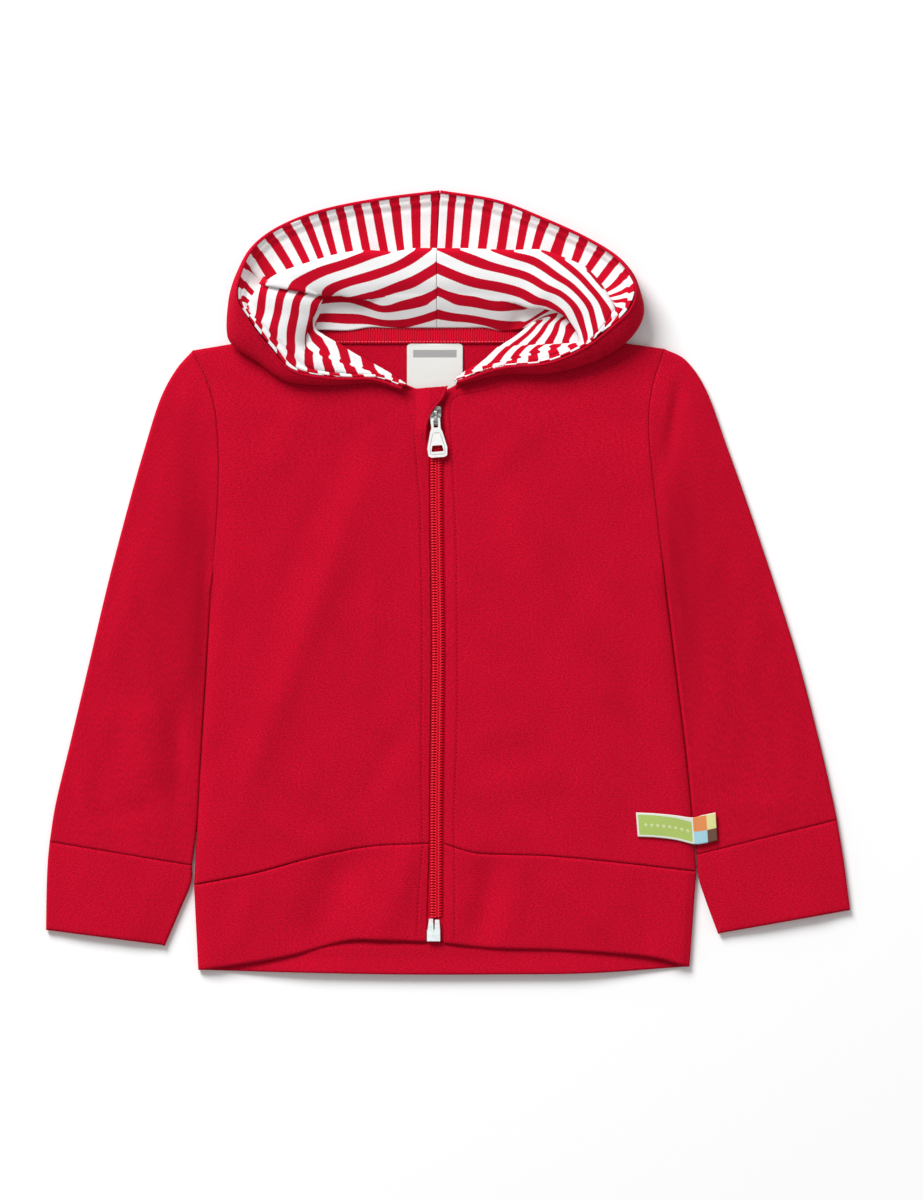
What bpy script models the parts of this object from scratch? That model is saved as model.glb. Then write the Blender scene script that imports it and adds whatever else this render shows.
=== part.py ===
"""A child's zip hoodie, lying flat with its front up.

The frame is the garment's own: +X to the viewer's right, +Y towards the hood, +Z up from the surface that
it lies on, and the origin at the middle of its box on that surface. Sizes below are in millimetres.
Every piece is cloth of its real thickness, or a small hard part of the zip.
"""
import math

import bmesh
import bpy
from mathutils import Vector

MM = 0.001

# Cloth and seams
BODY_CLOTH = 1.6
HOOD_CLOTH = 1.2
LINING_CLOTH = 1.0
TAPE_CLOTH = 1.0
SEAM = 0.4            # between two sewn edges
LIFT = 0.4            # between a piece and what lies on it

# How high the flat garment stands
FRONT_TOP = 6.4       # outer face of the front panels
SIDE_TOP = 3.6        # the same face where it meets the back at the side seams
SLEEVE_HIGH = 6.2     # a flattened sleeve
SLEEVE_EDGE = 4.6     # its rounded long edges
EDGE_ROLL = 12.0      # how far in from an edge the cloth reaches its full height

# Zip
ZIP_X = -7.8
ZIP_TOP = 125.0
ZIP_END = -240.4
FRONT_EDGE_LEFT = -12.0
FRONT_EDGE_RIGHT = -1.8
TAPE_LOW = 3.6
CHAIN_WIDE = 5.4
CHAIN_HIGH = 2.2
SLIDER_BOTTOM = 104.5
SLIDER_TOP = 117.5
SLIDER_HIGH = 8.0
TAB_TILT = math.radians(4.0)
HINGE = (ZIP_X, 108.9, 9.25)

# Red cotton jersey, striped lining, tape, labels and enamel
RED = (0.47, 0.006, 0.018, 1.0)
STRIPE = (0.80, 0.30, 0.33, 1.0)
WHITE = (0.85, 0.85, 0.83, 1.0)
GREEN = (0.42, 0.62, 0.12, 1.0)
STEEL = (0.55, 0.55, 0.54, 1.0)


# Tables and curves

def table(columns, *rows):
    """Rows of numbers as one list for each named column."""
    return {name: [float(row[i]) for row in rows] for i, name in enumerate(columns.split())}


def points_of(rows, x="x", y="y"):
    return list(zip(rows[x], rows[y]))


def along(values, t):
    """The value at t, from 0 to 1, on a smooth curve through evenly spaced values."""
    last = len(values) - 1
    place = min(max(t, 0.0), 1.0) * last
    i = min(int(place), last - 1)
    f = place - i
    a, b = values[i], values[i + 1]
    before = values[i - 1] if i > 0 else 2 * a - b
    after = values[i + 2] if i + 2 <= last else 2 * b - a
    slope_a = 0.5 * (b - before)
    slope_b = 0.5 * (after - a)
    return ((2 * f ** 3 - 3 * f ** 2 + 1) * a + (f ** 3 - 2 * f ** 2 + f) * slope_a
            + (3 * f ** 2 - 2 * f ** 3) * b + (f ** 3 - f ** 2) * slope_b)


def mix(a, b, t):
    return a + (b - a) * t


def mix_points(a, b, t):
    return tuple(mix(p, q, t) for p, q in zip(a, b))


def soft(t):
    t = min(max(t, 0.0), 1.0)
    return t * t * (3 - 2 * t)


def spread(t):
    """Steps from 0 to 1 that are finer towards both ends."""
    return mix(t, soft(t), 0.8)


def evenly(points, count):
    """Points at equal distances along a smooth curve through the given ones."""
    fine = 24 * len(points)
    track = [tuple(along([p[k] for p in points], i / fine) for k in (0, 1)) for i in range(fine + 1)]
    steps = [0.0]
    for a, b in zip(track, track[1:]):
        steps.append(steps[-1] + math.dist(a, b))
    result = []
    j = 0
    for i in range(count):
        want = steps[-1] * i / (count - 1)
        while j < fine - 1 and steps[j + 1] < want:
            j += 1
        result.append(mix_points(track[j], track[j + 1], (want - steps[j]) / (steps[j + 1] - steps[j])))
    return result


# Outlines of the body, from the hem seam up

LEFT_SIDE = table(
    "x y",
    (-169.5, -202.6),
    (-167.0, -160.0),
    (-164.8, -120.0),
    (-161.5, -66.0),
    (-157.5, 0.0))
LEFT_ARMHOLE = table(
    "x y",
    (-157.5, 0.0),
    (-154.6, 36.0),
    (-152.8, 76.0),
    (-154.6, 112.0),
    (-161.0, 136.0),
    (-170.2, 155.0))
RIGHT_SIDE = table(
    "x y",
    (167.0, -193.6),
    (164.4, -160.0),
    (160.5, -120.0),
    (154.0, -66.0),
    (145.8, 0.0))
RIGHT_ARMHOLE = table(
    "x y",
    (145.8, 0.0),
    (141.6, 36.0),
    (137.6, 72.0),
    (134.9, 104.0),
    (137.4, 130.0),
    (145.4, 156.1))
LEFT_NECK = table(
    "x y",
    (FRONT_EDGE_LEFT, 127.6),
    (-23.5, 130.6),
    (-38.6, 139.0),
    (-59.6, 152.6),
    (-76.0, 161.8),
    (-90.5, 168.4))
RIGHT_NECK = table(
    "x y",
    (FRONT_EDGE_RIGHT, 128.6),
    (4.0, 130.8),
    (15.6, 139.4),
    (31.0, 150.4),
    (45.4, 159.8),
    (57.6, 168.4))
BACK_NECK_Y = 167.4

# The seam between the fronts and the hem band, from the zip out in even steps of x, and the band's lower
# edge below it
LEFT_SEAM = table("x y", (FRONT_EDGE_LEFT, -175.2), (-51.4, -177.1), (-90.8, -184.6), (-130.1, -195.0),
                  (-169.5, -202.6))
RIGHT_SEAM = table("x y", (FRONT_EDGE_RIGHT, -175.6), (19.3, -181.5), (40.4, -182.6), (61.5, -183.1),
                   (82.6, -184.6), (103.7, -186.6), (124.8, -188.8), (145.9, -191.2), (167.0, -193.6))
LEFT_HEM = table("x y", (-13.9, -241.2), (-42.0, -240.2), (-68.0, -240.4), (-106.0, -250.2),
                 (-140.0, -256.0), (-166.6, -259.8))
RIGHT_HEM = table("x y", (-2.4, -242.0), (30.0, -245.2), (70.0, -246.4), (112.0, -248.6),
                  (142.0, -251.8), (162.4, -257.6))
BACK_HEM = table("x y", (-166.6, -259.8), (-120.0, -261.6), (-60.0, -262.8), (20.0, -262.8),
                 (110.0, -262.0), (162.4, -257.6))

# Sleeves: outer edge from the shoulder point to the cuff seam, and the cuff's corners
LEFT_SLEEVE_EDGE = table(
    "x y",
    (-170.4, 156.6),
    (-181.6, 142.0),
    (-192.3, 121.9),
    (-203.0, 88.0),
    (-212.4, 54.9),
    (-226.5, 1.3),
    (-239.2, -52.3),
    (-251.9, -105.9),
    (-262.0, -148.0),
    (-266.2, -174.2))
RIGHT_SLEEVE_EDGE = table(
    "x y",
    (146.2, 157.8),
    (160.0, 148.4),
    (173.6, 128.4),
    (187.0, 92.0),
    (200.3, 54.9),
    (218.4, 1.3),
    (235.2, -52.3),
    (249.2, -105.9),
    (257.4, -141.0),
    (261.3, -159.6))
LEFT_CUFF = table("outer_x outer_y inner_x inner_y",
                  (-266.2, -174.2, -170.6, -189.6),
                  (-267.4, -187.0, -171.4, -201.8),
                  (-268.2, -206.0, -178.4, -219.0),
                  (-268.6, -233.2, -189.0, -243.9))
RIGHT_CUFF = table("outer_x outer_y inner_x inner_y",
                   (261.3, -159.6, 167.0, -182.2),
                   (263.4, -172.0, 168.4, -197.7),
                   (266.6, -193.0, 173.4, -213.6),
                   (270.0, -219.8, 181.6, -235.8))

# Largest folds of the fronts and sleeves: soft ridges (+) and troughs (-) from one end to the other
FOLDS = table(
    "x1 y1 x2 y2 height width",
    (-54.0, 62.0, -105.0, -94.0, 0.8, 24.0),
    (40.0, 51.0, 84.0, -29.0, 0.7, 20.0),
    (84.0, -29.0, 112.0, -84.0, 0.7, 16.0),
    (-62.0, -203.0, -100.0, -150.0, -0.8, 16.0),
    (8.0, -192.0, 36.0, -213.0, -0.8, 11.0),
    (160.0, 138.0, 140.0, 58.0, -0.8, 9.0),
    (-189.0, -126.0, -172.0, -66.0, -0.7, 12.0),
    (-214.0, 40.0, -236.0, -60.0, 0.6, 20.0),
    (196.0, 20.0, 222.0, -80.0, 0.6, 18.0))


def fold_height(x, y):
    """The height that the folds add at a point. They end before the zip's tapes."""
    total = 0.0
    for i in range(len(FOLDS["x1"])):
        start = Vector((FOLDS["x1"][i], FOLDS["y1"][i]))
        run = Vector((FOLDS["x2"][i], FOLDS["y2"][i])) - start
        t = (Vector((x, y)) - start).dot(run) / run.length_squared
        nearest = start + run * min(max(t, 0.0), 1.0)
        away = (Vector((x, y)) - nearest).length / FOLDS["width"][i]
        total += FOLDS["height"][i] * math.exp(-away * away)
    return total * soft((abs(x - ZIP_X) - 12) / 12)


def edge_drop(distance, roll, drop):
    """How much lower than its full height the cloth is this far in from a rolled edge."""
    if distance >= roll:
        return 0.0
    inward = 1 - max(distance, 0.0) / roll
    return drop * (1 - math.sqrt(1 - inward * inward))


# Making objects

def material(name, colour, roughness=0.85, metallic=0.0):
    made = bpy.data.materials.new(name)
    made.use_nodes = True
    shader = made.node_tree.nodes["Principled BSDF"]
    shader.inputs["Base Color"].default_value = colour
    shader.inputs["Roughness"].default_value = roughness
    shader.inputs["Metallic"].default_value = metallic
    return made


def add(name, mesh, finish, smooth=True):
    mesh.materials.append(finish)
    if smooth:
        mesh.shade_smooth()
        mesh.set_sharp_from_angle(angle=math.radians(50))
    made = bpy.data.objects.new(name, mesh)
    HOODIE.objects.link(made)
    return made


def sheet(name, rows, finish, thickness, ring=False, upwards=True, centred=False):
    """Cloth through rows of points: an open surface with its thickness on the inner side."""
    bm = bmesh.new()
    verts = [[bm.verts.new(Vector(p) * MM) for p in row] for row in rows]
    across = len(rows[0])
    for low, high in zip(verts, verts[1:]):
        for i in range(across if ring else across - 1):
            j = (i + 1) % across
            bm.faces.new((low[i], low[j], high[j], high[i]))
    if not upwards:
        bmesh.ops.reverse_faces(bm, faces=bm.faces[:])
    mesh = bpy.data.meshes.new(name)
    bm.to_mesh(mesh)
    bm.free()
    made = add(name, mesh, finish)
    wall = made.modifiers.new("wall", "SOLIDIFY")
    wall.thickness = thickness * MM
    wall.offset = 0.0 if centred else -1.0
    wall.use_even_offset = True
    return made


def plate(name, outline, low, high, finish, holes=()):
    """A flat outline, with any holes, as a solid between two heights."""
    curve = bpy.data.curves.new(name, "CURVE")
    curve.dimensions = "2D"
    curve.fill_mode = "BOTH"
    curve.extrude = (high - low) / 2 * MM
    for loop in (outline, *holes):
        spline = curve.splines.new("POLY")
        spline.points.add(len(loop) - 1)
        for point, (x, y) in zip(spline.points, loop):
            point.co = (x * MM, y * MM, 0.0, 1.0)
        spline.use_cyclic_u = True
    curve.materials.append(finish)
    made = bpy.data.objects.new(name, curve)
    made.location.z = (low + high) / 2 * MM
    HOODIE.objects.link(made)
    return made


def rounded(points, radius, steps=3):
    """An outline with each corner cut by a small arc."""
    result = []
    count = len(points)
    for i in range(count):
        here = Vector(points[i])
        back = (Vector(points[i - 1]) - here).normalized()
        on = (Vector(points[(i + 1) % count]) - here).normalized()
        half = math.acos(max(-1.0, min(1.0, back.dot(on)))) / 2
        cut = min(radius / math.tan(half), (Vector(points[i - 1]) - here).length * 0.45)
        start, end = here + back * cut, here + on * cut
        for s in range(steps + 1):
            t = s / steps
            result.append(tuple(start.lerp(here, t).lerp(here.lerp(end, t), t)))
    return result


# Body

BODY_ROWS = 15        # rows of a front up to the top of the zip
NECK_ROWS = 6         # rows from there to the shoulder seam
BODY_COLUMNS = 12


def side_outline(side, armhole, rows):
    """Evenly spaced points up the side seam and the armhole."""
    return evenly(points_of(side) + points_of(armhole)[1:], rows)


def front_panel(name, edge_x, neck, seam, side, armhole, outward):
    """A front: rows run from the zip or the neck out to the side seam or the armhole."""
    total = BODY_ROWS + NECK_ROWS
    outer = side_outline(side, armhole, total)
    neck_points = evenly(points_of(neck), NECK_ROWS + 1)
    hem_y = seam["y"][0]
    inner = [(edge_x, mix(hem_y, neck_points[0][1], i / (BODY_ROWS - 1))) for i in range(BODY_ROWS)]
    inner += neck_points[1:]
    underarm = armhole["y"][0]
    rows = []
    for j, (start, end) in enumerate(zip(inner, outer)):
        row = []
        side_seam = soft((underarm + 14 - end[1]) / 28)
        for i in range(BODY_COLUMNS + 1):
            t = spread(i / BODY_COLUMNS)
            x, y = mix_points(start, end, t)
            up = j / (BODY_ROWS - 1)
            if up < 0.5:
                sag = along(seam["y"], abs(x - edge_x) / abs(seam["x"][-1] - edge_x)) - mix(
                    seam["y"][0], seam["y"][-1], abs(x - edge_x) / abs(seam["x"][-1] - edge_x))
                y += sag * (1 - 2 * up)
            to_side = (1 - t) * math.dist(start, end)
            to_shoulder = (1 - j / (total - 1)) * math.dist(inner[-1], inner[0])
            z = FRONT_TOP + fold_height(x, y)
            z -= edge_drop(to_side, EDGE_ROLL, FRONT_TOP - SIDE_TOP) * side_seam
            z -= edge_drop(to_side, 5.0, 1.0) * (1 - side_seam)
            z -= edge_drop(to_shoulder, EDGE_ROLL, FRONT_TOP - SIDE_TOP) * (1 - side_seam)
            row.append((x, y, max(z, SIDE_TOP)))
        rows.append(row)
    return sheet(name, rows, FABRIC, BODY_CLOTH, upwards=outward > 0)


def back_panel():
    left = side_outline(LEFT_SIDE, LEFT_ARMHOLE, 22)
    right = side_outline(RIGHT_SIDE, RIGHT_ARMHOLE, 22)
    neck = [(-90.5, 168.4), (-84.0, BACK_NECK_Y), (51.0, BACK_NECK_Y), (57.6, 168.4)]
    return plate("back_panel", right + neck[::-1] + left[::-1], 0.0, BODY_CLOTH, FABRIC)


def flattened_ring(outer, inner, outer_in, inner_in, height, bow=None, flat=9):
    """Points round a flattened tube, from its outer edge over the top to its inner edge and back below.

    outer_in and inner_in point from each edge into the tube, as long as its rounded edge is deep.
    """
    corner_steps = 4
    flat_start = tuple(p + q for p, q in zip(outer, outer_in))
    flat_end = tuple(p + q for p, q in zip(inner, inner_in))
    width = math.dist(flat_start, flat_end)
    ring = []

    def on_edge(tip, inwards, turn):
        in_by = 1 - math.cos(turn)
        ring.append((tip[0] + inwards[0] * in_by, tip[1] + inwards[1] * in_by,
                     SLEEVE_EDGE / 2 * (1 + math.sin(turn))))

    def on_flat(t, top):
        x, y = mix_points(flat_start, flat_end, t)
        if bow:
            x, y = x + bow(t)[0], y + bow(t)[1]
        to_edge = min(t, 1 - t) * width
        puff = mix(SLEEVE_EDGE, height, soft(to_edge / 24)) + fold_height(x, y) * soft(to_edge / 20)
        ring.append((x, y, puff if top else 0.0))

    quarter = math.pi / 2
    for s in range(corner_steps):
        on_edge(outer, outer_in, quarter * s / corner_steps)
    for s in range(flat + 1):
        on_flat(s / flat, True)
    for s in range(1, 2 * corner_steps):
        on_edge(inner, inner_in, quarter * (1 - s / corner_steps))
    for s in range(4):
        on_flat(1 - s / 3, False)
    for s in range(1, corner_steps):
        on_edge(outer, outer_in, quarter * (s / corner_steps - 1))
    return ring


def inwards(points, i, towards):
    """Across a line of points at one of them, on the side of another point, as long as the edge is round."""
    run = Vector(points[min(i + 1, len(points) - 1)]) - Vector(points[max(i - 1, 0)])
    across = Vector((-run.y, run.x)).normalized() * SLEEVE_EDGE / 2
    if across.dot(Vector(towards) - Vector(points[i])) < 0:
        across = -across
    return tuple(across)


SLEEVE_RINGS = 17


def sleeve(name, edge, side, armhole, cuff_corners, outward):
    """A sleeve: its first ring follows the armhole, and its inner edge lies along the side seam."""
    gap = 0.7 * outward
    hole = [(x + gap, y) for x, y in evenly(points_of(armhole), 25)]
    end = (cuff_corners["inner_x"][0], cuff_corners["inner_y"][0])
    seam = [(x + gap, y) for x, y in points_of(side) if y > end[1] + 12][::-1] + [end]
    outer = evenly([hole[-1]] + points_of(edge)[1:], SLEEVE_RINGS)
    inner = evenly(seam, SLEEVE_RINGS)
    down_hole = (Vector(hole[-4]) - Vector(hole[-1])).normalized() * SLEEVE_EDGE * 0.8
    first_start = Vector(outer[0]) + down_hole
    first_end = Vector(inner[0]) + Vector((outward * SLEEVE_EDGE / 2, 0.0))
    rings = []
    for j in range(SLEEVE_RINGS):
        fade = (1 - j / (SLEEVE_RINGS - 1)) ** 3

        def bow(t):
            if t == 1.0:
                return 0.0, 0.0
            share = fade * soft((1 - t) / 0.3) if j else 1.0
            on_hole = mix(0.97, 0.0, t)
            on_chord = first_start.lerp(first_end, t)
            return ((along([p[0] for p in hole], on_hole) - on_chord.x) * share,
                    (along([p[1] for p in hole], on_hole) - on_chord.y) * share)

        outer_in = inwards(outer, j, inner[j]) if j else tuple(down_hole)
        inner_in = inwards(inner, j, outer[j]) if j else (outward * SLEEVE_EDGE / 2, 0.0)
        height = mix(SLEEVE_HIGH, SLEEVE_HIGH - 0.4, j / (SLEEVE_RINGS - 1))
        rings.append(flattened_ring(outer[j], inner[j], outer_in, inner_in, height, bow))
    return sheet(name, rings, FABRIC, BODY_CLOTH, ring=True, upwards=outward > 0)


CUFF_RINGS = 6


def cuff(name, corners, outward):
    rings = []
    steps = [j / (CUFF_RINGS - 1) for j in range(CUFF_RINGS)]
    outer = [(along(corners["outer_x"], t), along(corners["outer_y"], t) - SEAM * (1 - t)) for t in steps]
    inner = [(along(corners["inner_x"], t), along(corners["inner_y"], t) - SEAM * (1 - t)) for t in steps]
    for j in range(CUFF_RINGS):
        rings.append(flattened_ring(outer[j], inner[j], inwards(outer, j, inner[j]), inwards(inner, j, outer[j]),
                                    SLEEVE_HIGH - 0.4))
    return sheet(name, rings, FABRIC, BODY_CLOTH, ring=True, upwards=outward > 0)


HEM_ROWS = 5


def hem_band():
    """One strip round the hem: from the zip over the left front, round the back and up to the zip again."""
    fronts = BODY_COLUMNS + 1
    fold_steps = 4
    backs = 6
    rows = []
    for j in range(HEM_ROWS):
        down = j / (HEM_ROWS - 1)
        row = []

        def front_run(seam, hem, outward):
            run = []
            for i in range(fronts):
                t = spread(i / (fronts - 1))
                top = (along(seam["x"], t), along(seam["y"], t) - SEAM)
                low = (along(hem["x"], t), along(hem["y"], t))
                x, y = mix_points(top, low, down)
                x -= outward * SLEEVE_EDGE / 2 * t
                to_side = (1 - t) * abs(hem["x"][-1] - hem["x"][0])
                drop = edge_drop(to_side, EDGE_ROLL, FRONT_TOP - SLEEVE_EDGE)
                run.append((x, y, FRONT_TOP - drop + fold_height(x, y) * soft(to_side / 20)))
            return run

        def fold_run(start, y_end, outward):
            run = []
            for s in range(1, fold_steps + 1):
                turn = math.pi * s / (fold_steps + 1)
                bulge = SLEEVE_EDGE / 2 * math.sin(turn)
                run.append((start[0] + outward * bulge, mix(start[1], y_end, s / (fold_steps + 1)),
                            SLEEVE_EDGE / 2 * (1 + math.cos(turn))))
            return run

        left = front_run(LEFT_SEAM, LEFT_HEM, -1)
        right = front_run(RIGHT_SEAM, RIGHT_HEM, 1)
        left_back_y = mix(LEFT_SIDE["y"][0] - SEAM, BACK_HEM["y"][0], down)
        right_back_y = mix(RIGHT_SIDE["y"][0] - SEAM, BACK_HEM["y"][-1], down)
        row += left + fold_run(left[-1], left_back_y, -1)
        for i in range(backs + 1):
            t = i / backs
            top_y = mix(LEFT_SIDE["y"][0], RIGHT_SIDE["y"][0], t) - SEAM
            row.append((mix(left[-1][0], right[-1][0], t), mix(top_y, along(BACK_HEM["y"], t), down), 0.0))
        row += fold_run(right[-1], right_back_y, 1)[::-1] + right[::-1]
        rows.append(row)
    return sheet("hem_band", rows, FABRIC, BODY_CLOTH, upwards=True)


# Hood. Each row is a spoke, from the nape round one side to the front of the neck. A spoke runs from the
# neck seam up to the crest of the fold, down behind it, and up again to the rim round the face.

HOOD_LEFT = table(
    "neck_x neck_y crest_x crest_y rim_x rim_y bulge",
    (-6.9, 168.4, -6.9, 218.4, -4.9, 259.6, 2.0),
    (-31.5, 168.4, -41.5, 218.2, -45.8, 254.6, 2.0),
    (-51.6, 168.4, -75.0, 213.7, -83.0, 247.0, 2.0),
    (-68.3, 168.6, -98.5, 207.4, -111.0, 236.0, 2.0),
    (-81.7, 169.6, -116.0, 199.4, -128.4, 222.2, 2.4),
    (-90.4, 170.4, -123.5, 189.4, -136.4, 205.0, 4.0),
    (-91.4, 167.6, -113.0, 176.6, -139.0, 188.6, 7.0),
    (-83.0, 163.8, -102.0, 166.6, -133.4, 172.0, 15.0),
    (-72.4, 158.8, -88.0, 156.8, -121.8, 155.8, 13.0),
    (-60.2, 151.8, -74.0, 148.6, -103.0, 142.6, 9.0),
    (-45.6, 142.6, -56.0, 141.0, -74.0, 136.6, 5.0),
    (-34.0, 135.2, -40.0, 134.6, -48.0, 132.6, 3.0),
    (-24.2, 130.4, -26.2, 129.6, -29.4, 126.8, 2.0))
HOOD_RIGHT = table(
    "neck_x neck_y crest_x crest_y rim_x rim_y bulge",
    (-6.5, 168.4, -6.5, 218.4, -4.5, 259.6, 2.0),
    (15.4, 168.4, 28.8, 219.6, 32.6, 253.4, 2.0),
    (35.5, 168.4, 62.3, 217.6, 65.2, 240.8, 2.0),
    (46.6, 168.6, 86.4, 208.4, 91.2, 228.8, 2.2),
    (54.0, 169.6, 103.0, 197.6, 110.6, 216.6, 2.4),
    (58.4, 170.4, 108.0, 188.0, 121.6, 203.6, 3.0),
    (58.6, 167.6, 99.0, 179.0, 125.0, 192.4, 4.4),
    (54.0, 163.8, 86.0, 168.6, 122.6, 181.4, 11.0),
    (45.6, 158.8, 72.0, 160.2, 110.6, 170.6, 14.0),
    (34.8, 151.6, 55.0, 153.2, 92.5, 158.6, 12.0),
    (24.6, 144.6, 38.0, 146.0, 65.7, 149.8, 9.0),
    (14.8, 137.4, 22.0, 138.6, 36.0, 140.6, 6.0),
    (5.0, 130.4, 6.6, 129.6, 9.0, 127.0, 2.0))
HOOD_LEVELS = table(
    "neck crest valley rim base",
    (2.7, 22.0, 6.0, 14.0, 0.6),
    (2.7, 22.2, 6.0, 14.2, 0.6),
    (2.7, 22.8, 6.5, 15.2, 0.6),
    (3.2, 23.8, 8.0, 17.6, 0.8),
    (5.8, 24.6, 12.0, 21.6, 2.6),
    (9.0, 24.8, 18.0, 25.0, 5.4),
    (9.8, 21.6, 22.4, 27.0, 7.5),
    (9.8, 20.0, 21.6, 26.6, 7.5),
    (9.8, 18.4, 20.0, 24.4, 7.5),
    (9.8, 16.8, 18.0, 21.2, 7.5),
    (9.8, 15.0, 15.8, 17.6, 7.5),
    (9.8, 13.0, 13.4, 14.4, 7.5),
    (9.8, 10.8, 11.0, 11.4, 7.5))
SPOKES = 25
FULL_DROP = 16.0      # how far the fold falls behind its crest at the nape


def spoke(side, t):
    """Where one spoke's points stand, and the heights there."""
    here = {name: along(values, t) for name, values in side.items()}
    here.update({name: along(values, t) for name, values in HOOD_LEVELS.items()})
    return here


def rim_normal(side, t):
    """The direction straight out from the rim, seen from above."""
    step = 0.02
    ahead, behind = min(t + step, 1.0), max(t - step, 0.0)
    run = Vector((along(side["rim_x"], ahead) - along(side["rim_x"], behind),
                  along(side["rim_y"], ahead) - along(side["rim_y"], behind))).normalized()
    turn = 1 if side is HOOD_LEFT else -1
    return Vector((-run.y, run.x)) * -turn


def lining_section(side, t):
    """The lining's visible face along a spoke, from the neck seam to the rim."""
    at = spoke(side, t)
    neck = Vector((at["neck_x"], at["neck_y"]))
    crest = Vector((at["crest_x"], at["crest_y"]))
    rim = Vector((at["rim_x"], at["rim_y"]))
    out = (rim - neck).normalized()
    length = (rim - neck).length
    fall = at["crest"] - at["valley"]
    curl = soft((fall - 5) / (FULL_DROP - 5))
    shoulder = crest - out * 0.08 * length
    section = []
    for a in (0.0, 0.12, 0.28, 0.46, 0.66, 0.84):
        place = neck.lerp(shoulder, a)
        section.append((*place, mix(at["neck"], at["crest"], math.sin(a * math.pi / 2))))
    section.append((*shoulder, at["crest"]))
    section.append((*crest, at["crest"] - 0.35 * fall))
    tuck = crest - out * 2.2 * curl + out * 0.03 * length * (1 - curl)
    section.append((*tuck, at["crest"] - 0.7 * fall))
    valley = crest + out * mix(0.08 * length, 1.5, curl)
    section.append((*valley, at["valley"]))
    for a in (0.14, 0.3, 0.5, 0.7, 0.86, 1.0):
        place = valley.lerp(rim, a)
        section.append((*place, mix(at["valley"], at["rim"], 0.35 * a + 0.65 * a * a)))
    return section


def hood_lining(name, side, upwards):
    rows = [lining_section(side, i / (SPOKES - 1)) for i in range(SPOKES)]
    return sheet(name, rows, STRIPED, LINING_CLOTH, upwards=upwards)


def outer_section(side, t):
    """The outer hood along a spoke: out over what it lies on, round the bulge and up to the rim."""
    at = spoke(side, t)
    normal = rim_normal(side, t)
    rim = Vector((at["rim_x"], at["rim_y"]))
    neck = Vector((at["neck_x"], at["neck_y"]))
    bulge = at["bulge"]
    foot = rim + normal * (bulge - 2.6)
    rise = at["rim"] + 0.4 - at["base"]
    section = [(*neck.lerp(foot, a), at["base"]) for a in (0.0, 0.25, 0.5, 0.75, 1.0)]
    for out, up in ((bulge - 0.7, 0.08), (bulge, 0.3), (mix(1.9, bulge, 0.8), 0.6), (mix(1.8, bulge, 0.35), 0.85)):
        section.append((*(rim + normal * out), at["base"] + rise * up))
    section.append((*(rim + normal * 1.7), at["base"] + rise))
    return section


def hood_outer(name, side, upwards):
    rows = [outer_section(side, i / (SPOKES - 1)) for i in range(SPOKES)]
    return sheet(name, rows, FABRIC, HOOD_CLOTH, upwards=upwards, centred=True)


def hood_fold():
    """The hidden layers under the crest, as one rounded solid from one side of the hood to the other."""
    left_reach, right_reach = 4.0 / 12, 3.3 / 12
    steps = 8
    stations = [(HOOD_LEFT, left_reach, 1 - i / steps) for i in range(steps)]
    stations += [(HOOD_RIGHT, right_reach, i / steps) for i in range(steps + 1)]
    bm = bmesh.new()
    rings = []
    for side, reach, part in stations:
        at = spoke(side, reach * part)
        neck = Vector((at["neck_x"], at["neck_y"]))
        crest = Vector((at["crest_x"], at["crest_y"]))
        full = math.sqrt(max(1 - part ** 4, 0.04))
        low = along(HOOD_LEVELS["base"], reach * part + 0.06) + HOOD_CLOTH / 2 + 0.7
        ring = []
        for a, share in ((0.34, 0.0), (0.3, 0.5), (0.42, 0.86), (0.58, 1.0), (0.74, 1.0), (0.83, 0.8),
                         (0.84, 0.4), (0.8, 0.0)):
            under = mix(at["neck"], at["crest"], math.sin(min(a / 0.92, 1.0) * math.pi / 2)) - 2.6
            ring.append(bm.verts.new(Vector((*neck.lerp(crest, a), mix(low, under, share * full))) * MM))
        rings.append(ring)
    count = len(rings[0])
    for first, second in zip(rings, rings[1:]):
        for i in range(count):
            j = (i + 1) % count
            bm.faces.new((first[i], first[j], second[j], second[i]))
    bm.faces.new(rings[0][::-1])
    bm.faces.new(rings[-1])
    bmesh.ops.recalc_face_normals(bm, faces=bm.faces[:])
    mesh = bpy.data.meshes.new("hood_fold")
    bm.to_mesh(mesh)
    bm.free()
    return add("hood_fold", mesh, STRIPED)


# Neck tape and labels

def neck_tape():
    low = BODY_CLOTH + LIFT
    outline = rounded([(-86.4, 158.4), (57.0, 158.8), (50.0, BACK_NECK_Y), (-86.0, BACK_NECK_Y)], 0.6)
    return plate("neck_tape", outline, low, low + TAPE_CLOTH, FABRIC)


def size_label():
    low = BODY_CLOTH + LIFT
    outline = rounded([(-26.8, 122.0), (10.6, 122.0), (10.6, 158.0), (-26.8, 158.0)], 3.0)
    return plate("size_label", outline, low, low + TAPE_CLOTH, PAPER)


SIDE_LABEL = table(
    "x top_y low_y z",
    (126.4, -154.2, -170.4, 7.9),
    (139.0, -154.8, -171.0, 8.0),
    (152.0, -156.0, -172.6, 7.9),
    (163.9, -157.6, -175.4, 7.7),
    (171.0, -156.0, -174.9, 7.8),
    (179.6, -154.2, -173.0, 8.2))


def side_label():
    """The printed label in the side seam: one half lies on the front, the other on the sleeve."""
    rows = []
    for t in (0.0, 0.5, 1.0):
        rows.append([(x + 1.2 * t, mix(top, low, t), z) for x, top, low, z in zip(*SIDE_LABEL.values())])
    return sheet("side_label", rows, PRINT, TAPE_CLOTH, upwards=False)


# Zip

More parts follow.
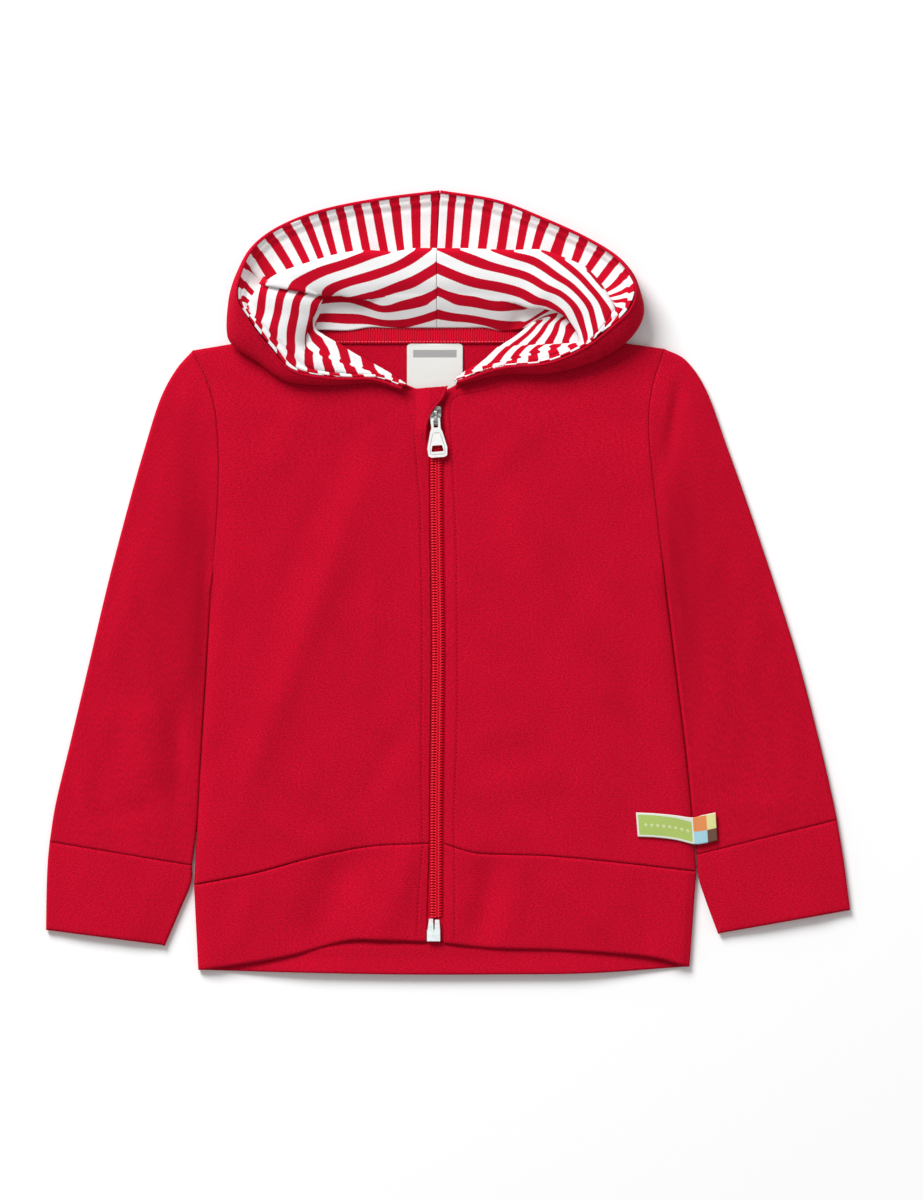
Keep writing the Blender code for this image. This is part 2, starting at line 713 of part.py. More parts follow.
def zip_tapes():
    high = TAPE_LOW + TAPE_CLOTH
    half_gap = 0.25
    for name, near, far in (("zip_tape_left", ZIP_X - half_gap, FRONT_EDGE_LEFT - 8.5),
                            ("zip_tape_right", ZIP_X + half_gap, FRONT_EDGE_RIGHT + 7.0)):
        outline = [(near, ZIP_END), (far, ZIP_END), (far, ZIP_TOP), (near, ZIP_TOP)]
        if far > near:
            outline = outline[::-1]
        plate(name, outline, TAPE_LOW, high, FABRIC)


CHAIN_LOW = TAPE_LOW + TAPE_CLOTH + 0.3


def zip_chain():
    half = CHAIN_WIDE / 2
    outline = [(ZIP_X - half, -218.6), (ZIP_X + half, -218.6), (ZIP_X + half, SLIDER_BOTTOM - 0.4),
               (ZIP_X - half, SLIDER_BOTTOM - 0.4)]
    return plate("zip_chain", outline, CHAIN_LOW, CHAIN_LOW + CHAIN_HIGH, FABRIC)


def zip_slider():
    """The slider's body with the bridge that holds the tab's bar."""
    shoulder, waist = 3.8, 3.0
    body = plate("slider_body", rounded([
        (ZIP_X - waist, SLIDER_BOTTOM), (ZIP_X + waist, SLIDER_BOTTOM),
        (ZIP_X + shoulder, SLIDER_BOTTOM + 7.0), (ZIP_X + shoulder, SLIDER_TOP),
        (ZIP_X - shoulder, SLIDER_TOP), (ZIP_X - shoulder, SLIDER_BOTTOM + 7.0)], 1.0),
        CHAIN_LOW, SLIDER_HIGH, ENAMEL)
    solid = as_mesh("zip_slider", body)
    bridge_low, bridge_high = SLIDER_BOTTOM + 1.0, SLIDER_BOTTOM + 9.8
    beam_low, beam_high = 10.4, 11.4
    leg = 1.3
    arch = [(bridge_low, SLIDER_HIGH - 0.5), (bridge_low + leg, SLIDER_HIGH - 0.5), (bridge_low + leg, beam_low),
            (bridge_high - leg, beam_low), (bridge_high - leg, SLIDER_HIGH - 0.5),
            (bridge_high, SLIDER_HIGH - 0.5), (bridge_high, beam_high - 0.5), (bridge_high - 0.8, beam_high),
            (bridge_low + 0.8, beam_high), (bridge_low, beam_high - 0.5)]
    half = 0.9
    bridge = plate("slider_bridge", arch, -half, half, ENAMEL)
    bridge.rotation_euler = (math.pi / 2, 0.0, math.pi / 2)
    bridge.location = (ZIP_X * MM, 0.0, 0.0)
    return join(solid, as_mesh("slider_bridge", bridge, cutter=True), "UNION")


def as_mesh(name, source, cutter=False):
    """A curve object turned into a mesh object with its caps welded on."""
    bpy.context.view_layer.update()
    evaluated = source.evaluated_get(bpy.context.evaluated_depsgraph_get())
    mesh = bpy.data.meshes.new_from_object(evaluated)
    bm = bmesh.new()
    bm.from_mesh(mesh)
    bmesh.ops.remove_doubles(bm, verts=bm.verts[:], dist=0.00001)
    bm.to_mesh(mesh)
    bm.free()
    made = bpy.data.objects.new(name, mesh)
    made.matrix_world = source.matrix_world.copy()
    bpy.data.objects.remove(source)
    (CUTTERS if cutter else HOODIE).objects.link(made)
    if cutter:
        made.hide_render = True
        made.display_type = "WIRE"
    return made


def join(target, other, operation):
    change = target.modifiers.new(operation.lower(), "BOOLEAN")
    change.operation = operation
    change.object = other
    return target


def pull_tab():
    """The tab: two arms and a bar through the slider's bridge, and a flat plate with a window."""
    x, y, z = HINGE
    bar = 0.75
    arm_out, arm_in = 3.1, 1.5
    top, low = -6.3, -25.6
    outline = [(-arm_out, bar), (arm_out, bar), (arm_out, top), (4.1, -8.6), (6.7, -19.4), (6.2, -24.6),
               (4.2, low), (-4.2, low), (-6.2, -24.6), (-6.7, -19.4), (-4.1, -8.6), (-arm_out, top)]
    slot = rounded([(-arm_in, -bar), (arm_in, -bar), (arm_in, top + 0.6), (-arm_in, top + 0.6)], 0.4, 2)
    window = rounded([(-4.2, -21.8), (4.2, -21.8), (3.3, -17.6), (-3.3, -17.6)], 0.7)
    tab = plate("tab_plate", rounded(outline, 0.6, 2), -bar, bar, ENAMEL, holes=(slot[::-1], window[::-1]))
    tab.rotation_euler.z = TAB_TILT
    tab.location = Vector((x, y, z)) * MM
    return as_mesh("pull_tab", tab)


def zip_stop():
    """The box at the foot of the zip, with the pin and the retainer standing in it."""
    left, right = -13.4, -4.6
    outline = [(left, ZIP_END), (right, ZIP_END), (right, -233.0), (-5.2, -226.0), (-8.0, -226.0),
               (-8.4, -233.0), (-9.0, -233.0), (-9.4, -225.4), (-12.0, -225.4), (left + 0.4, -233.0),
               (left, -233.0)]
    return plate("zip_stop", rounded(outline, 0.25, 1), CHAIN_LOW, CHAIN_LOW + 3.0, ENAMEL)


GUARD = table(
    "left_x left_y right_x right_y rise",
    (-20.4, 93.0, -13.9, 93.0, 0.2),
    (-21.0, 99.0, -13.3, 99.0, 0.6),
    (-21.4, 105.0, -12.3, 105.0, 1.2),
    (-21.6, 110.0, -11.7, 110.0, 1.8),
    (-21.8, 114.4, -10.0, 114.4, 2.2),
    (-21.8, 118.4, -5.9, 118.4, 2.3),
    (-21.4, 122.6, -2.2, 123.4, 2.4),
    (-21.0, 129.4, 0.6, 131.0, 2.4))


def chin_guard():
    """The flap over the top of the zip, lying on the left front and rising over the slider."""
    columns = 7
    rows = []
    low = FRONT_TOP + LIFT + HOOD_CLOTH
    for left_x, left_y, right_x, right_y, rise in zip(*GUARD.values()):
        row = []
        for i in range(columns + 1):
            t = i / columns
            x = mix(left_x, right_x, t)
            over = soft((x + 19.0) / 8.0)
            row.append((x, mix(left_y, right_y, t), low + rise * over))
        rows.append(row)
    return sheet("chin_guard", rows, FABRIC, HOOD_CLOTH, upwards=True)


def clear_scene():
    for old in list(bpy.data.objects):
        bpy.data.objects.remove(old)


clear_scene()
HOODIE = bpy.data.collections.new("kids_hoodie")
CUTTERS = bpy.data.collections.new("cutters")
bpy.context.scene.collection.children.link(HOODIE)
bpy.context.scene.collection.children.link(CUTTERS)
FABRIC = material("red_jersey", RED)
STRIPED = material("striped_lining", STRIPE)
PAPER = material("white_label", WHITE, 0.7)
PRINT = material("side_label_print", GREEN, 0.6)
ENAMEL = material("white_enamel", WHITE, 0.3)

back_panel()
front_panel("front_left", FRONT_EDGE_LEFT, LEFT_NECK, LEFT_SEAM, LEFT_SIDE, LEFT_ARMHOLE, -1)
front_panel("front_right", FRONT_EDGE_RIGHT, RIGHT_NECK, RIGHT_SEAM, RIGHT_SIDE, RIGHT_ARMHOLE, 1)
sleeve("sleeve_left", LEFT_SLEEVE_EDGE, LEFT_SIDE, LEFT_ARMHOLE, LEFT_CUFF, -1)
sleeve("sleeve_right", RIGHT_SLEEVE_EDGE, RIGHT_SIDE, RIGHT_ARMHOLE, RIGHT_CUFF, 1)
cuff("cuff_left", LEFT_CUFF, -1)
cuff("cuff_right", RIGHT_CUFF, 1)
hem_band()
hood_outer("hood_outer_left", HOOD_LEFT, False)
hood_outer("hood_outer_right", HOOD_RIGHT, True)
hood_lining("hood_lining_left", HOOD_LEFT, False)
hood_lining("hood_lining_right", HOOD_RIGHT, True)
hood_fold()
neck_tape()
size_label()
side_label()
zip_tapes()
zip_chain()
zip_slider()
pull_tab()
zip_stop()
chin_guard()
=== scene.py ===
"""The looks of a child's zip hoodie, lying flat with its front up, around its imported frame.

Lengths in the tables are millimetres in the garment's own frame: +X to the viewer's right, +Y towards the
hood, +Z up from the surface that it lies on. Every mesh is turned into metres as it is made.
"""
import math

import bpy
import numpy as np
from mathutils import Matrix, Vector


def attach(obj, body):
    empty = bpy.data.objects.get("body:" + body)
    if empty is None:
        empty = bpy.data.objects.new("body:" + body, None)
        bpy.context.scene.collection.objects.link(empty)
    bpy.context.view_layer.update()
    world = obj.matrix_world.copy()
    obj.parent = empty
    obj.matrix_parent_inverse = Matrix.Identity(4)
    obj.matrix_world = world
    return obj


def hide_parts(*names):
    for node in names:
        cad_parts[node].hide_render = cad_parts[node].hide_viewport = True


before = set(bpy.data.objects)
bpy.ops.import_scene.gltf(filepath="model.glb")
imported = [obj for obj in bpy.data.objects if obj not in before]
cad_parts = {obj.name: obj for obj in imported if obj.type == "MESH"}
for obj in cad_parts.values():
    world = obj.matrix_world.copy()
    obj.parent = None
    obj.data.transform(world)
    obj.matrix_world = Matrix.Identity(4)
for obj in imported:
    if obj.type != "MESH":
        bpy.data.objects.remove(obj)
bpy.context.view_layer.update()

MM = 0.001
TURN = 2 * math.pi
GARMENT = "garment"
PULL = "zip_pull"

# Cloth and seams, as the solids have them
BODY_CLOTH = 1.6
HOOD_CLOTH = 1.2
LINING_CLOTH = 1.0
TAPE_CLOTH = 1.0
SEAM = 0.12
LIFT = 0.4
FRONT_TOP = 6.4
SIDE_TOP = 3.6
SLEEVE_HIGH = 6.2
SLEEVE_EDGE = 4.6
EDGE_ROLL = 12.0
PUFF_WIDE = 24.0      # how far in from its edges a flattened tube reaches its height
FOLDS_FROM = 20.0     # how far in from a folded edge the cloth's own folds are whole

# Zip
ZIP_X = -7.8
ZIP_TOP = 125.0
ZIP_END = -240.4
FRONT_EDGE_LEFT = -12.0
FRONT_EDGE_RIGHT = -1.8
TAPE_LOW = 3.6
CHAIN_LOW = 4.9
CHAIN_END = -225.0
SLIDER_BOTTOM = 104.5
TAB_TILT = math.radians(4.0)
HINGE = (ZIP_X, 108.9, 9.25)


# Tables and curves

def table(columns, *rows):
    """Rows of numbers as one array for each named column."""
    return {name: np.array([float(row[i]) for row in rows]) for i, name in enumerate(columns.split())}


def points_of(rows):
    return np.column_stack((rows["x"], rows["y"]))


def along(values, t):
    """The values at t, from 0 to 1, on a smooth curve through evenly spaced values."""
    values = np.asarray(values, float)
    last = len(values) - 1
    place = np.clip(np.asarray(t, float), 0.0, 1.0) * last
    i = np.minimum(place.astype(int), last - 1)
    f = place - i
    padded = np.concatenate(([2 * values[0] - values[1]], values, [2 * values[-1] - values[-2]]))
    before, a, b, after = padded[i], padded[i + 1], padded[i + 2], padded[i + 3]
    if values.ndim > 1:
        f = f[..., None]
    slope_a = 0.5 * (b - before)
    slope_b = 0.5 * (after - a)
    return ((2 * f ** 3 - 3 * f ** 2 + 1) * a + (f ** 3 - 2 * f ** 2 + f) * slope_a
            + (3 * f ** 2 - 2 * f ** 3) * b + (f ** 3 - f ** 2) * slope_b)


def mix(a, b, t):
    return a + (b - a) * t


def soft(t):
    t = np.clip(t, 0.0, 1.0)
    return t * t * (3 - 2 * t)


def shares(count):
    """So many numbers from 0 to 1."""
    return np.linspace(0, 1, count)


def runs(*stops):
    """Numbers from each stop to the next. A stop after the first also says how many steps lead to it."""
    numbers = [np.array([stops[0]], float)]
    for stop, steps in stops[1:]:
        numbers.append(np.linspace(numbers[-1][-1], stop, steps + 1)[1:])
    return np.concatenate(numbers)


def all_along(rows, t):
    """Every column of a table at t."""
    return {name: along(values, t) for name, values in rows.items()}


def unit(vectors):
    return vectors / np.linalg.norm(vectors, axis=-1, keepdims=True)


def lengths(track):
    """How far each point of a track is from its first one."""
    return np.concatenate(([0.0], np.cumsum(np.linalg.norm(np.diff(track, axis=0), axis=1))))


def evenly(points, t):
    """The points at shares t of the length of a smooth curve through the given ones."""
    track = along(points, shares(24 * len(points) + 1))
    steps = lengths(track)
    want = np.asarray(t, float) * steps[-1]
    return np.stack([np.interp(want, steps, track[:, k]) for k in range(track.shape[1])], axis=-1)


def away_from(path, x, y):
    """How far points are from a line through the given ones."""
    nearest = np.full(np.shape(x), 1e9)
    for (x1, y1), (x2, y2) in zip(path, path[1:]):
        run_x, run_y = x2 - x1, y2 - y1
        t = np.clip(((x - x1) * run_x + (y - y1) * run_y) / (run_x ** 2 + run_y ** 2), 0, 1)
        nearest = np.minimum(nearest, np.hypot(x - x1 - t * run_x, y - y1 - t * run_y))
    return nearest


# Outlines, from the hem seam up

LEFT_SIDE = table("x y", (-169.5, -202.6), (-167, -160), (-164.8, -120), (-161.5, -66), (-157.5, 0))
LEFT_ARMHOLE = table("x y", (-157.5, 0), (-154.6, 36), (-152.8, 76), (-154.6, 112), (-161, 136),
    (-170.2, 155))
RIGHT_SIDE = table("x y", (167, -193.6), (164.4, -160), (160.5, -120), (154, -66), (145.8, 0))
RIGHT_ARMHOLE = table("x y", (145.8, 0), (141.6, 36), (137.6, 72), (134.9, 104), (137.4, 130),
    (145.4, 156.1))
LEFT_NECK = table("x y", (FRONT_EDGE_LEFT, 127.6), (-23.5, 130.6), (-38.6, 139), (-59.6, 152.6),
    (-76, 161.8), (-90.5, 168.4))
RIGHT_NECK = table("x y", (FRONT_EDGE_RIGHT, 128.6), (4, 130.8), (15.6, 139.4), (31, 150.4), (45.4, 159.8),
    (57.6, 168.4))
LEFT_SEAM = table("x y", (FRONT_EDGE_LEFT, -175.2), (-51.4, -177.1), (-90.8, -184.6), (-130.1, -195),
    (-169.5, -202.6))
RIGHT_SEAM = table("x y", (FRONT_EDGE_RIGHT, -175.6), (19.3, -181.5), (40.4, -182.6), (61.5, -183.1),
    (82.6, -184.6), (103.7, -186.6), (124.8, -188.8), (145.9, -191.2), (167, -193.6))
LEFT_HEM = table("x y", (-13.9, -241.2), (-42, -240.2), (-68, -240.4), (-106, -250.2), (-140, -256),
    (-166.6, -259.8))
RIGHT_HEM = table("x y", (-2.4, -242), (30, -245.2), (70, -246.4), (112, -248.6), (142, -251.8),
    (162.4, -257.6))
BACK_HEM = table("x y", (-166.6, -259.8), (-120, -261.6), (-60, -262.8), (20, -262.8), (110, -262),
    (162.4, -257.6))
LEFT_SLEEVE_EDGE = table("x y", (-170.4, 156.6), (-181.6, 142), (-192.3, 121.9), (-203, 88),
    (-212.4, 54.9), (-226.5, 1.3), (-239.2, -52.3), (-251.9, -105.9), (-262, -148), (-266.2, -174.2))
RIGHT_SLEEVE_EDGE = table("x y", (146.2, 157.8), (160, 148.4), (173.6, 128.4), (187, 92), (200.3, 54.9),
    (218.4, 1.3), (235.2, -52.3), (249.2, -105.9), (257.4, -141), (261.3, -159.6))
LEFT_CUFF = table("outer_x outer_y inner_x inner_y",
                  (-266.2, -174.2, -170.6, -189.6),
                  (-267.4, -187, -171.4, -201.8),
                  (-268.2, -206, -178.4, -219),
                  (-268.6, -233.2, -189, -243.9))
RIGHT_CUFF = table("outer_x outer_y inner_x inner_y",
                   (261.3, -159.6, 167, -182.2),
                   (263.4, -172, 168.4, -197.7),
                   (266.6, -193, 173.4, -213.6),
                   (270, -219.8, 181.6, -235.8))

# Soft ridges (+) and troughs (-) of the cloth, from one end to the other
FOLDS = table(
    "x1 y1 x2 y2 height width",
    (-56, 66, -112, -94, 1.4, 20),
    (40, 51, 84, -29, 1.2, 18),
    (84, -29, 112, -84, 1.2, 15),
    (-62, -203, -100, -150, -1, 16),
    (8, -192, 36, -213, -0.8, 11),
    (160, 138, 140, 58, -1, 9),
    (-189, -126, -172, -66, -1.1, 12),
    (-214, 40, -236, -60, 1, 18),
    (196, 20, 222, -80, 1, 17))
# The smaller ones between them
CREASES = table(
    "x1 y1 x2 y2 height width",
    (-46, 5.4, -54, -59, 0.8, 8),
    (-57, 66, -139, -150, 1.5, 10),
    (-84, 60, -138, -80, -0.6, 9),
    (-96, 120, -120, 70, 0.8, 12),
    (-128, 20, -146, -60, -0.8, 10),
    (-122, -158, -84, -182, 0.9, 7),
    (-110, -140, -70, -168, -0.6, 9),
    (34, 74, 82, -35, 1.1, 8),
    (82, -35, 132, -100, 1.1, 9),
    (50, 84, 100, -14, -0.9, 9),
    (16, -20, 44, -64, -0.8, 9),
    (22, -106, 58, -90, 0.5, 11),
    (28, -124, 70, -112, -0.4, 11),
    (15, -138, 84, -130, 0.4, 10),
    (12, -156, 86, -148, -0.4, 11),
    (24, 70, 66, 110, 0.8, 10),
    (118, -60, 138, -130, -0.9, 9),
    (-30, -100, -60, -150, -0.8, 9),
    (-60, 130, -48, 92, 0.6, 9),
    (-183, 142, -159, 94, 1.4, 7),
    (-166, 128, -159, -20, -2.2, 13),
    (-178, 60, -192, -10, 0.8, 9),
    (-190, 100, -206, 30, -0.6, 9),
    (-206, -20, -228, -80, -0.6, 10),
    (-206, -84, -194, -132, 2.4, 12),
    (-181, -80, -177, -150, -2.1, 9),
    (-220, -96, -236, -150, -0.9, 9),
    (-196, -150, -240, -158, -0.6, 7),
    (157, 138, 141, 66, -1.6, 5),
    (148, 120, 143, 66, 1.1, 4),
    (166, 90, 186, 10, 0.8, 9),
    (206, -40, 228, -126, -0.8, 9),
    (176, -40, 196, -130, 0.8, 9),
    (184, -150, 232, -150, 0.6, 8),
    (-92, -240, -62, -180, -3, 15),
    (-46, -240, -20, -180, 1.6, 12),
    (-128, -206, -146, -246, 0.9, 9),
    (22, -238, 30, -184, -2.5, 9),
    (42, -238, 50, -188, 1.1, 9),
    (70, -200, 106, -236, 0.8, 9),
    (128, -200, 134, -244, -0.8, 8))
# Slow waves over the whole garment: height, waves a metre in x and in y, and where each starts
WAVES = table(
    "height along_x along_y start",
    (0.16, 9, 4, 0.3),
    (0.12, -6, 11, 1.7),
    (0.09, 17, -8, 2.9),
    (0.07, 14, 23, 4.1),
    (0.04, -33, 19, 5.2),
    (0.03, 27, 38, 0.9))


def ridge(x, y, x1, y1, x2, y2, height, width):
    """The height of one fold, which fades out at both of its ends."""
    run_x, run_y = x2 - x1, y2 - y1
    length = math.hypot(run_x, run_y)
    t = ((x - x1) * run_x + (y - y1) * run_y) / length ** 2
    away = ((x - x1) * run_y - (y - y1) * run_x) / length / width
    return height * np.exp(-away * away) * soft((t + 0.25) / 0.5) * soft((1.25 - t) / 0.5)


def fold_height(x, y):
    """The height that folds, creases and waves add at points. They end before the zip's tapes."""
    total = np.zeros(np.broadcast(x, y).shape)
    for rows in (FOLDS, CREASES):
        for row in zip(*rows.values()):
            total += ridge(x, y, *row)
    for height, along_x, along_y, start in zip(*WAVES.values()):
        total += height * np.sin(TURN * (along_x * x + along_y * y) * MM + start)
    return total * soft((np.abs(x - ZIP_X) - 9) / 12)


ZIP_BOW = 1.3
BOW_MIDDLE = -45.0
BOW_TALL = 75.0
BOW_WIDE = 60.0


def bowed(x, y):
    """Sideways places of the zip and the cloth beside it, which bow a little to the right."""
    share = soft(1 - np.abs(x - ZIP_X) / BOW_WIDE)
    return x + ZIP_BOW * np.exp(-((y - BOW_MIDDLE) / BOW_TALL) ** 2) * share


def edge_drop(distance, roll, drop):
    """How much lower than its full height the cloth is this far in from a rolled edge."""
    inward = 1 - np.clip(distance, 0.0, roll) / roll
    return drop * (1 - np.sqrt(np.maximum(1 - inward * inward, 0.0)))


# Making meshes

def build(name, points, faces, finish):
    """A smooth mesh in the scene, from points in millimetres."""
    mesh = bpy.data.meshes.new(name)
    mesh.from_pydata((np.asarray(points, float) * MM).tolist(), [], faces)
    mesh.materials.append(finish)
    mesh.shade_smooth()
    made = bpy.data.objects.new(name, mesh)
    bpy.context.scene.collection.objects.link(made)
    return made


def put_on(made, body, slot, *nodes):
    """Rides a piece on a body and hides the nodes that it stands for. Its slot is not used."""
    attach(made, body)
    if nodes:
        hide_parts(*nodes)


def lengths_along(grid, axis):
    """How far each point of a grid is from its first one, along rows or columns."""
    steps = np.linalg.norm(np.diff(grid, axis=axis), axis=2)
    start = np.zeros(np.take(steps, [0], axis=axis).shape)
    return np.concatenate((start, np.cumsum(steps, axis=axis)), axis=axis)


def cloth(name, grid, finish, thickness, ring=False, upwards=True, centred=False, values=None):
    """A cloth wall through a grid of points, with its thickness on the inner side unless it is centred.

    Its UV map, weave, runs along the cloth in metres. values holds more numbers for the points, by name.
    """
    grid = np.asarray(grid, float)
    rows, across = grid.shape[:2]
    index = np.arange(rows * across).reshape(rows, across)
    if ring:
        index = np.concatenate((index, index[:, :1]), axis=1)
    quads = np.stack((index[:-1, :-1], index[:-1, 1:], index[1:, 1:], index[1:, :-1]), axis=-1)
    quads = quads.reshape(-1, 4)
    if not upwards:
        quads = quads[:, ::-1]
    made = build(name + "_cloth", grid.reshape(-1, 3), quads.tolist(), finish)
    run = lengths_along(grid, 1) * MM
    rise = lengths_along(grid, 0) * MM
    weave = np.stack((run, rise), axis=-1).reshape(-1, 2)
    corners = np.empty(len(made.data.loops), int)
    made.data.loops.foreach_get("vertex_index", corners)
    made.data.uv_layers.new(name="weave").data.foreach_set("uv", weave[corners].ravel().astype(np.float32))
    for key, numbers in (values or {}).items():
        attribute = made.data.attributes.new(key, "FLOAT", "POINT")
        attribute.data.foreach_set("value", np.asarray(numbers, np.float32).ravel())
    wall = made.modifiers.new("wall", "SOLIDIFY")
    wall.thickness = thickness * MM
    wall.offset = 0.0 if centred else -1.0
    return made


# Along a bar: the share of its length, and its width there as a share of its radius
BAR_PROFILE = ((0.0, 0.35), (0.12, 0.85), (0.35, 1.0), (0.65, 1.0), (0.88, 0.85), (1.0, 0.35))


def bars(name, starts, ends, radius, finish, sides=6, flat=1.0):
    """One mesh of many small round-ended bars, such as stitches or coil turns."""
    starts, ends = np.asarray(starts, float), np.asarray(ends, float)
    run = ends - starts
    long = np.linalg.norm(run, axis=1)[:, None]
    run = run / long
    side = unit(np.cross(run, (0.0, 0.0, 1.0)))
    top = np.cross(side, run)
    rings = []
    for share, width in BAR_PROFILE:
        for s in range(sides):
            turn = TURN * s / sides
            offset = side * math.cos(turn) + top * math.sin(turn) * flat
            rings.append(starts + run * long * share + offset * radius * width)
    points = np.stack(rings, axis=1)
    count = points.shape[1]
    one = [list(range(sides))[::-1], list(range(count - sides, count))]
    for k in range(0, count - sides, sides):
        for s in range(sides):
            n = (s + 1) % sides
            one.append([k + s, k + n, k + sides + n, k + sides + s])
    faces = [[corner + b * count for corner in face] for b in range(len(starts)) for face in one]
    return build(name, points.reshape(-1, 3), faces, finish)


STITCH = 1.4
STITCH_STEP = 2.7
THREAD_RADIUS = 0.3


def stitches(name, lines, heights, finish, length=STITCH, step=STITCH_STEP):
    """Rows of stitches along lines of points, lying on the surface that heights gives."""
    starts, ends = [], []
    for line in lines:
        line = np.asarray(line, float)
        total = np.linalg.norm(np.diff(line, axis=0), axis=1).sum()
        count = int(total / step)
        begin = np.arange(count) * step / total
        a = evenly(line, begin)
        b = evenly(line, begin + length / total)
        starts.append(np.column_stack((a, heights(a[:, 0], a[:, 1]))))
        ends.append(np.column_stack((b, heights(b[:, 0], b[:, 1]))))
    return bars(name, np.concatenate(starts), np.concatenate(ends), THREAD_RADIUS, finish, flat=0.7)


# Materials

FACTOR, FIRST_COLOUR, SECOND_COLOUR, MIXED_COLOUR = 0, 6, 7, 2      # sockets of a Mix node


class Shader:
    """A Principled material and short ways to add nodes to it."""

    def __init__(self, name, colour, roughness, **fixed):
        self.material = bpy.data.materials.new(name)
        self.material.use_nodes = True
        self.tree = self.material.node_tree
        self.surface = self.tree.nodes["Principled BSDF"]
        self.surface.inputs["Base Color"].default_value = (*colour, 1.0)
        self.surface.inputs["Roughness"].default_value = roughness
        for key, value in fixed.items():
            self.surface.inputs[key.replace("_", " ")].default_value = value

    def node(self, kind, **settings):
        made = self.tree.nodes.new(kind)
        for key, value in settings.items():
            if key in made.inputs:
                self.feed(value, made.inputs[key])
            else:
                setattr(made, key, value)
        return made

    def feed(self, value, socket):
        if isinstance(value, bpy.types.NodeSocket):
            self.tree.links.new(value, socket)
        else:
            socket.default_value = value

    def calc(self, operation, a, b=0.0):
        made = self.node("ShaderNodeMath", operation=operation)
        self.feed(a, made.inputs[0])
        self.feed(b, made.inputs[1])
        return made.outputs[0]

    def add(self, a, b):
        return self.calc("ADD", a, b)

    def times(self, a, b):
        return self.calc("MULTIPLY", a, b)

    def wave(self, value, rate):
        return self.calc("SINE", self.times(value, rate))

    def parts(self, place):
        """The three numbers of a place."""
        return self.node("ShaderNodeSeparateXYZ", Vector=place).outputs

    def weave(self):
        """The cloth's own coordinates, in millimetres."""
        place = self.node("ShaderNodeUVMap", uv_map="weave").outputs[0]
        return self.node("ShaderNodeVectorMath", operation="SCALE", Vector=place, Scale=1000.0).outputs[0]

    def attribute(self, name, kind="Fac"):
        return self.node("ShaderNodeAttribute", attribute_name=name).outputs[kind]

    def noise(self, place, scale, detail=2.0, roughness=0.5):
        return self.node("ShaderNodeTexNoise", Vector=place, Scale=scale, Detail=detail,
                         Roughness=roughness).outputs["Fac"]

    def blend(self, share, first, second):
        """Between two colours, each given as numbers or as a socket."""
        made = self.node("ShaderNodeMix", data_type="RGBA")
        self.feed(share, made.inputs[FACTOR])
        for colour, place in ((first, FIRST_COLOUR), (second, SECOND_COLOUR)):
            is_socket = isinstance(colour, bpy.types.NodeSocket)
            self.feed(colour if is_socket else (*colour, 1.0), made.inputs[place])
        return made.outputs[MIXED_COLOUR]

    def ramp(self, value, low, high):
        limits = {"From Min": low, "From Max": high}
        return self.node("ShaderNodeMapRange", interpolation_type="SMOOTHSTEP", Value=value,
                         **limits).outputs["Result"]

    def colour(self, value):
        self.feed(value, self.surface.inputs["Base Color"])

    def bump(self, height, distance):
        made = self.node("ShaderNodeBump", Strength=1.0, Distance=distance * MM, Height=height)
        self.feed(made.outputs["Normal"], self.surface.inputs["Normal"])

    def knit(self, place, wale, course):
        """The V-shaped loops of jersey: columns of stitches whose legs lean together."""
        u, v, _ = self.parts(place)
        beside = self.calc("SUBTRACT", self.calc("FRACT", self.calc("DIVIDE", u, wale)), 0.5)
        inside = self.calc("ABSOLUTE", beside)
        column = self.calc("ABSOLUTE", self.wave(inside, TURN))
        loop = self.wave(self.add(self.calc("DIVIDE", v, course), inside), TURN)
        return self.add(column, self.times(loop, 0.35))


LIGHTER = 1.39      # the grain's light threads against the cloth's own colour


def jersey(name, colour, dark, wale=0.9, course=0.75, nap=0.35):
    """Brushed cotton jersey: fine heathered grain over small knit loops."""
    made = Shader(name, colour, 0.95, Specular_IOR_Level=0.04, Sheen_Weight=0.02, Sheen_Roughness=0.6,
                  Sheen_Tint=(1.0, 0.2, 0.25, 1.0))
    place = made.weave()
    streaks = made.node("ShaderNodeMapping", Vector=place, Scale=(0.5, 1.0, 1.0)).outputs[0]
    grain = made.add(made.times(made.noise(place, 1.8, 2.0, 0.7), 0.5),
                     made.times(made.noise(streaks, 1.3, 2.0, 0.6), 0.5))
    cloud = made.times(made.ramp(made.noise(place, 0.03), 0.3, 0.7), 0.16)
    base = made.blend(made.ramp(grain, 0.34, 0.66), dark, [min(c * LIGHTER, 1.0) for c in colour])
    made.colour(made.blend(cloud, base, dark))
    fuzz = made.noise(place, 2.6, 4.0, 0.75)
    made.bump(made.add(made.knit(place, wale, course), made.times(fuzz, 4 * nap)), 0.09)
    return made.material


STRIPE_EDGE = 0.02      # how soft a stripe's edge is, as a share of both stripes


def striped():
    """Single jersey with red and white stripes, by the stripe number stored on its points."""
    made = Shader("striped_jersey", (0.85, 0.84, 0.83), 0.95, Specular_IOR_Level=0.04)
    place = made.weave()
    waver = made.times(made.calc("SUBTRACT", made.noise(place, 1.1), 0.5), 0.035)
    part = made.calc("FRACT", made.add(made.attribute("stripe"), waver))
    red_from = made.ramp(part, 0.5 - STRIPE_EDGE, 0.5 + STRIPE_EDGE)
    is_red = made.calc("SUBTRACT", red_from, made.ramp(part, 1.0 - STRIPE_EDGE, 1.0))
    grain = made.ramp(made.noise(place, 1.4, 3.0, 0.7), 0.2, 0.8)
    red = made.blend(grain, (0.49, 0.0035, 0.018), (0.60, 0.005, 0.024))
    white = made.blend(grain, (0.86, 0.85, 0.85), (0.95, 0.945, 0.945))
    made.colour(made.blend(is_red, white, red))
    fuzz = made.noise(place, 3.0, 3.0, 0.7)
    made.bump(made.add(made.knit(place, 0.8, 0.65), made.times(fuzz, 0.8)), 0.07)
    return made.material


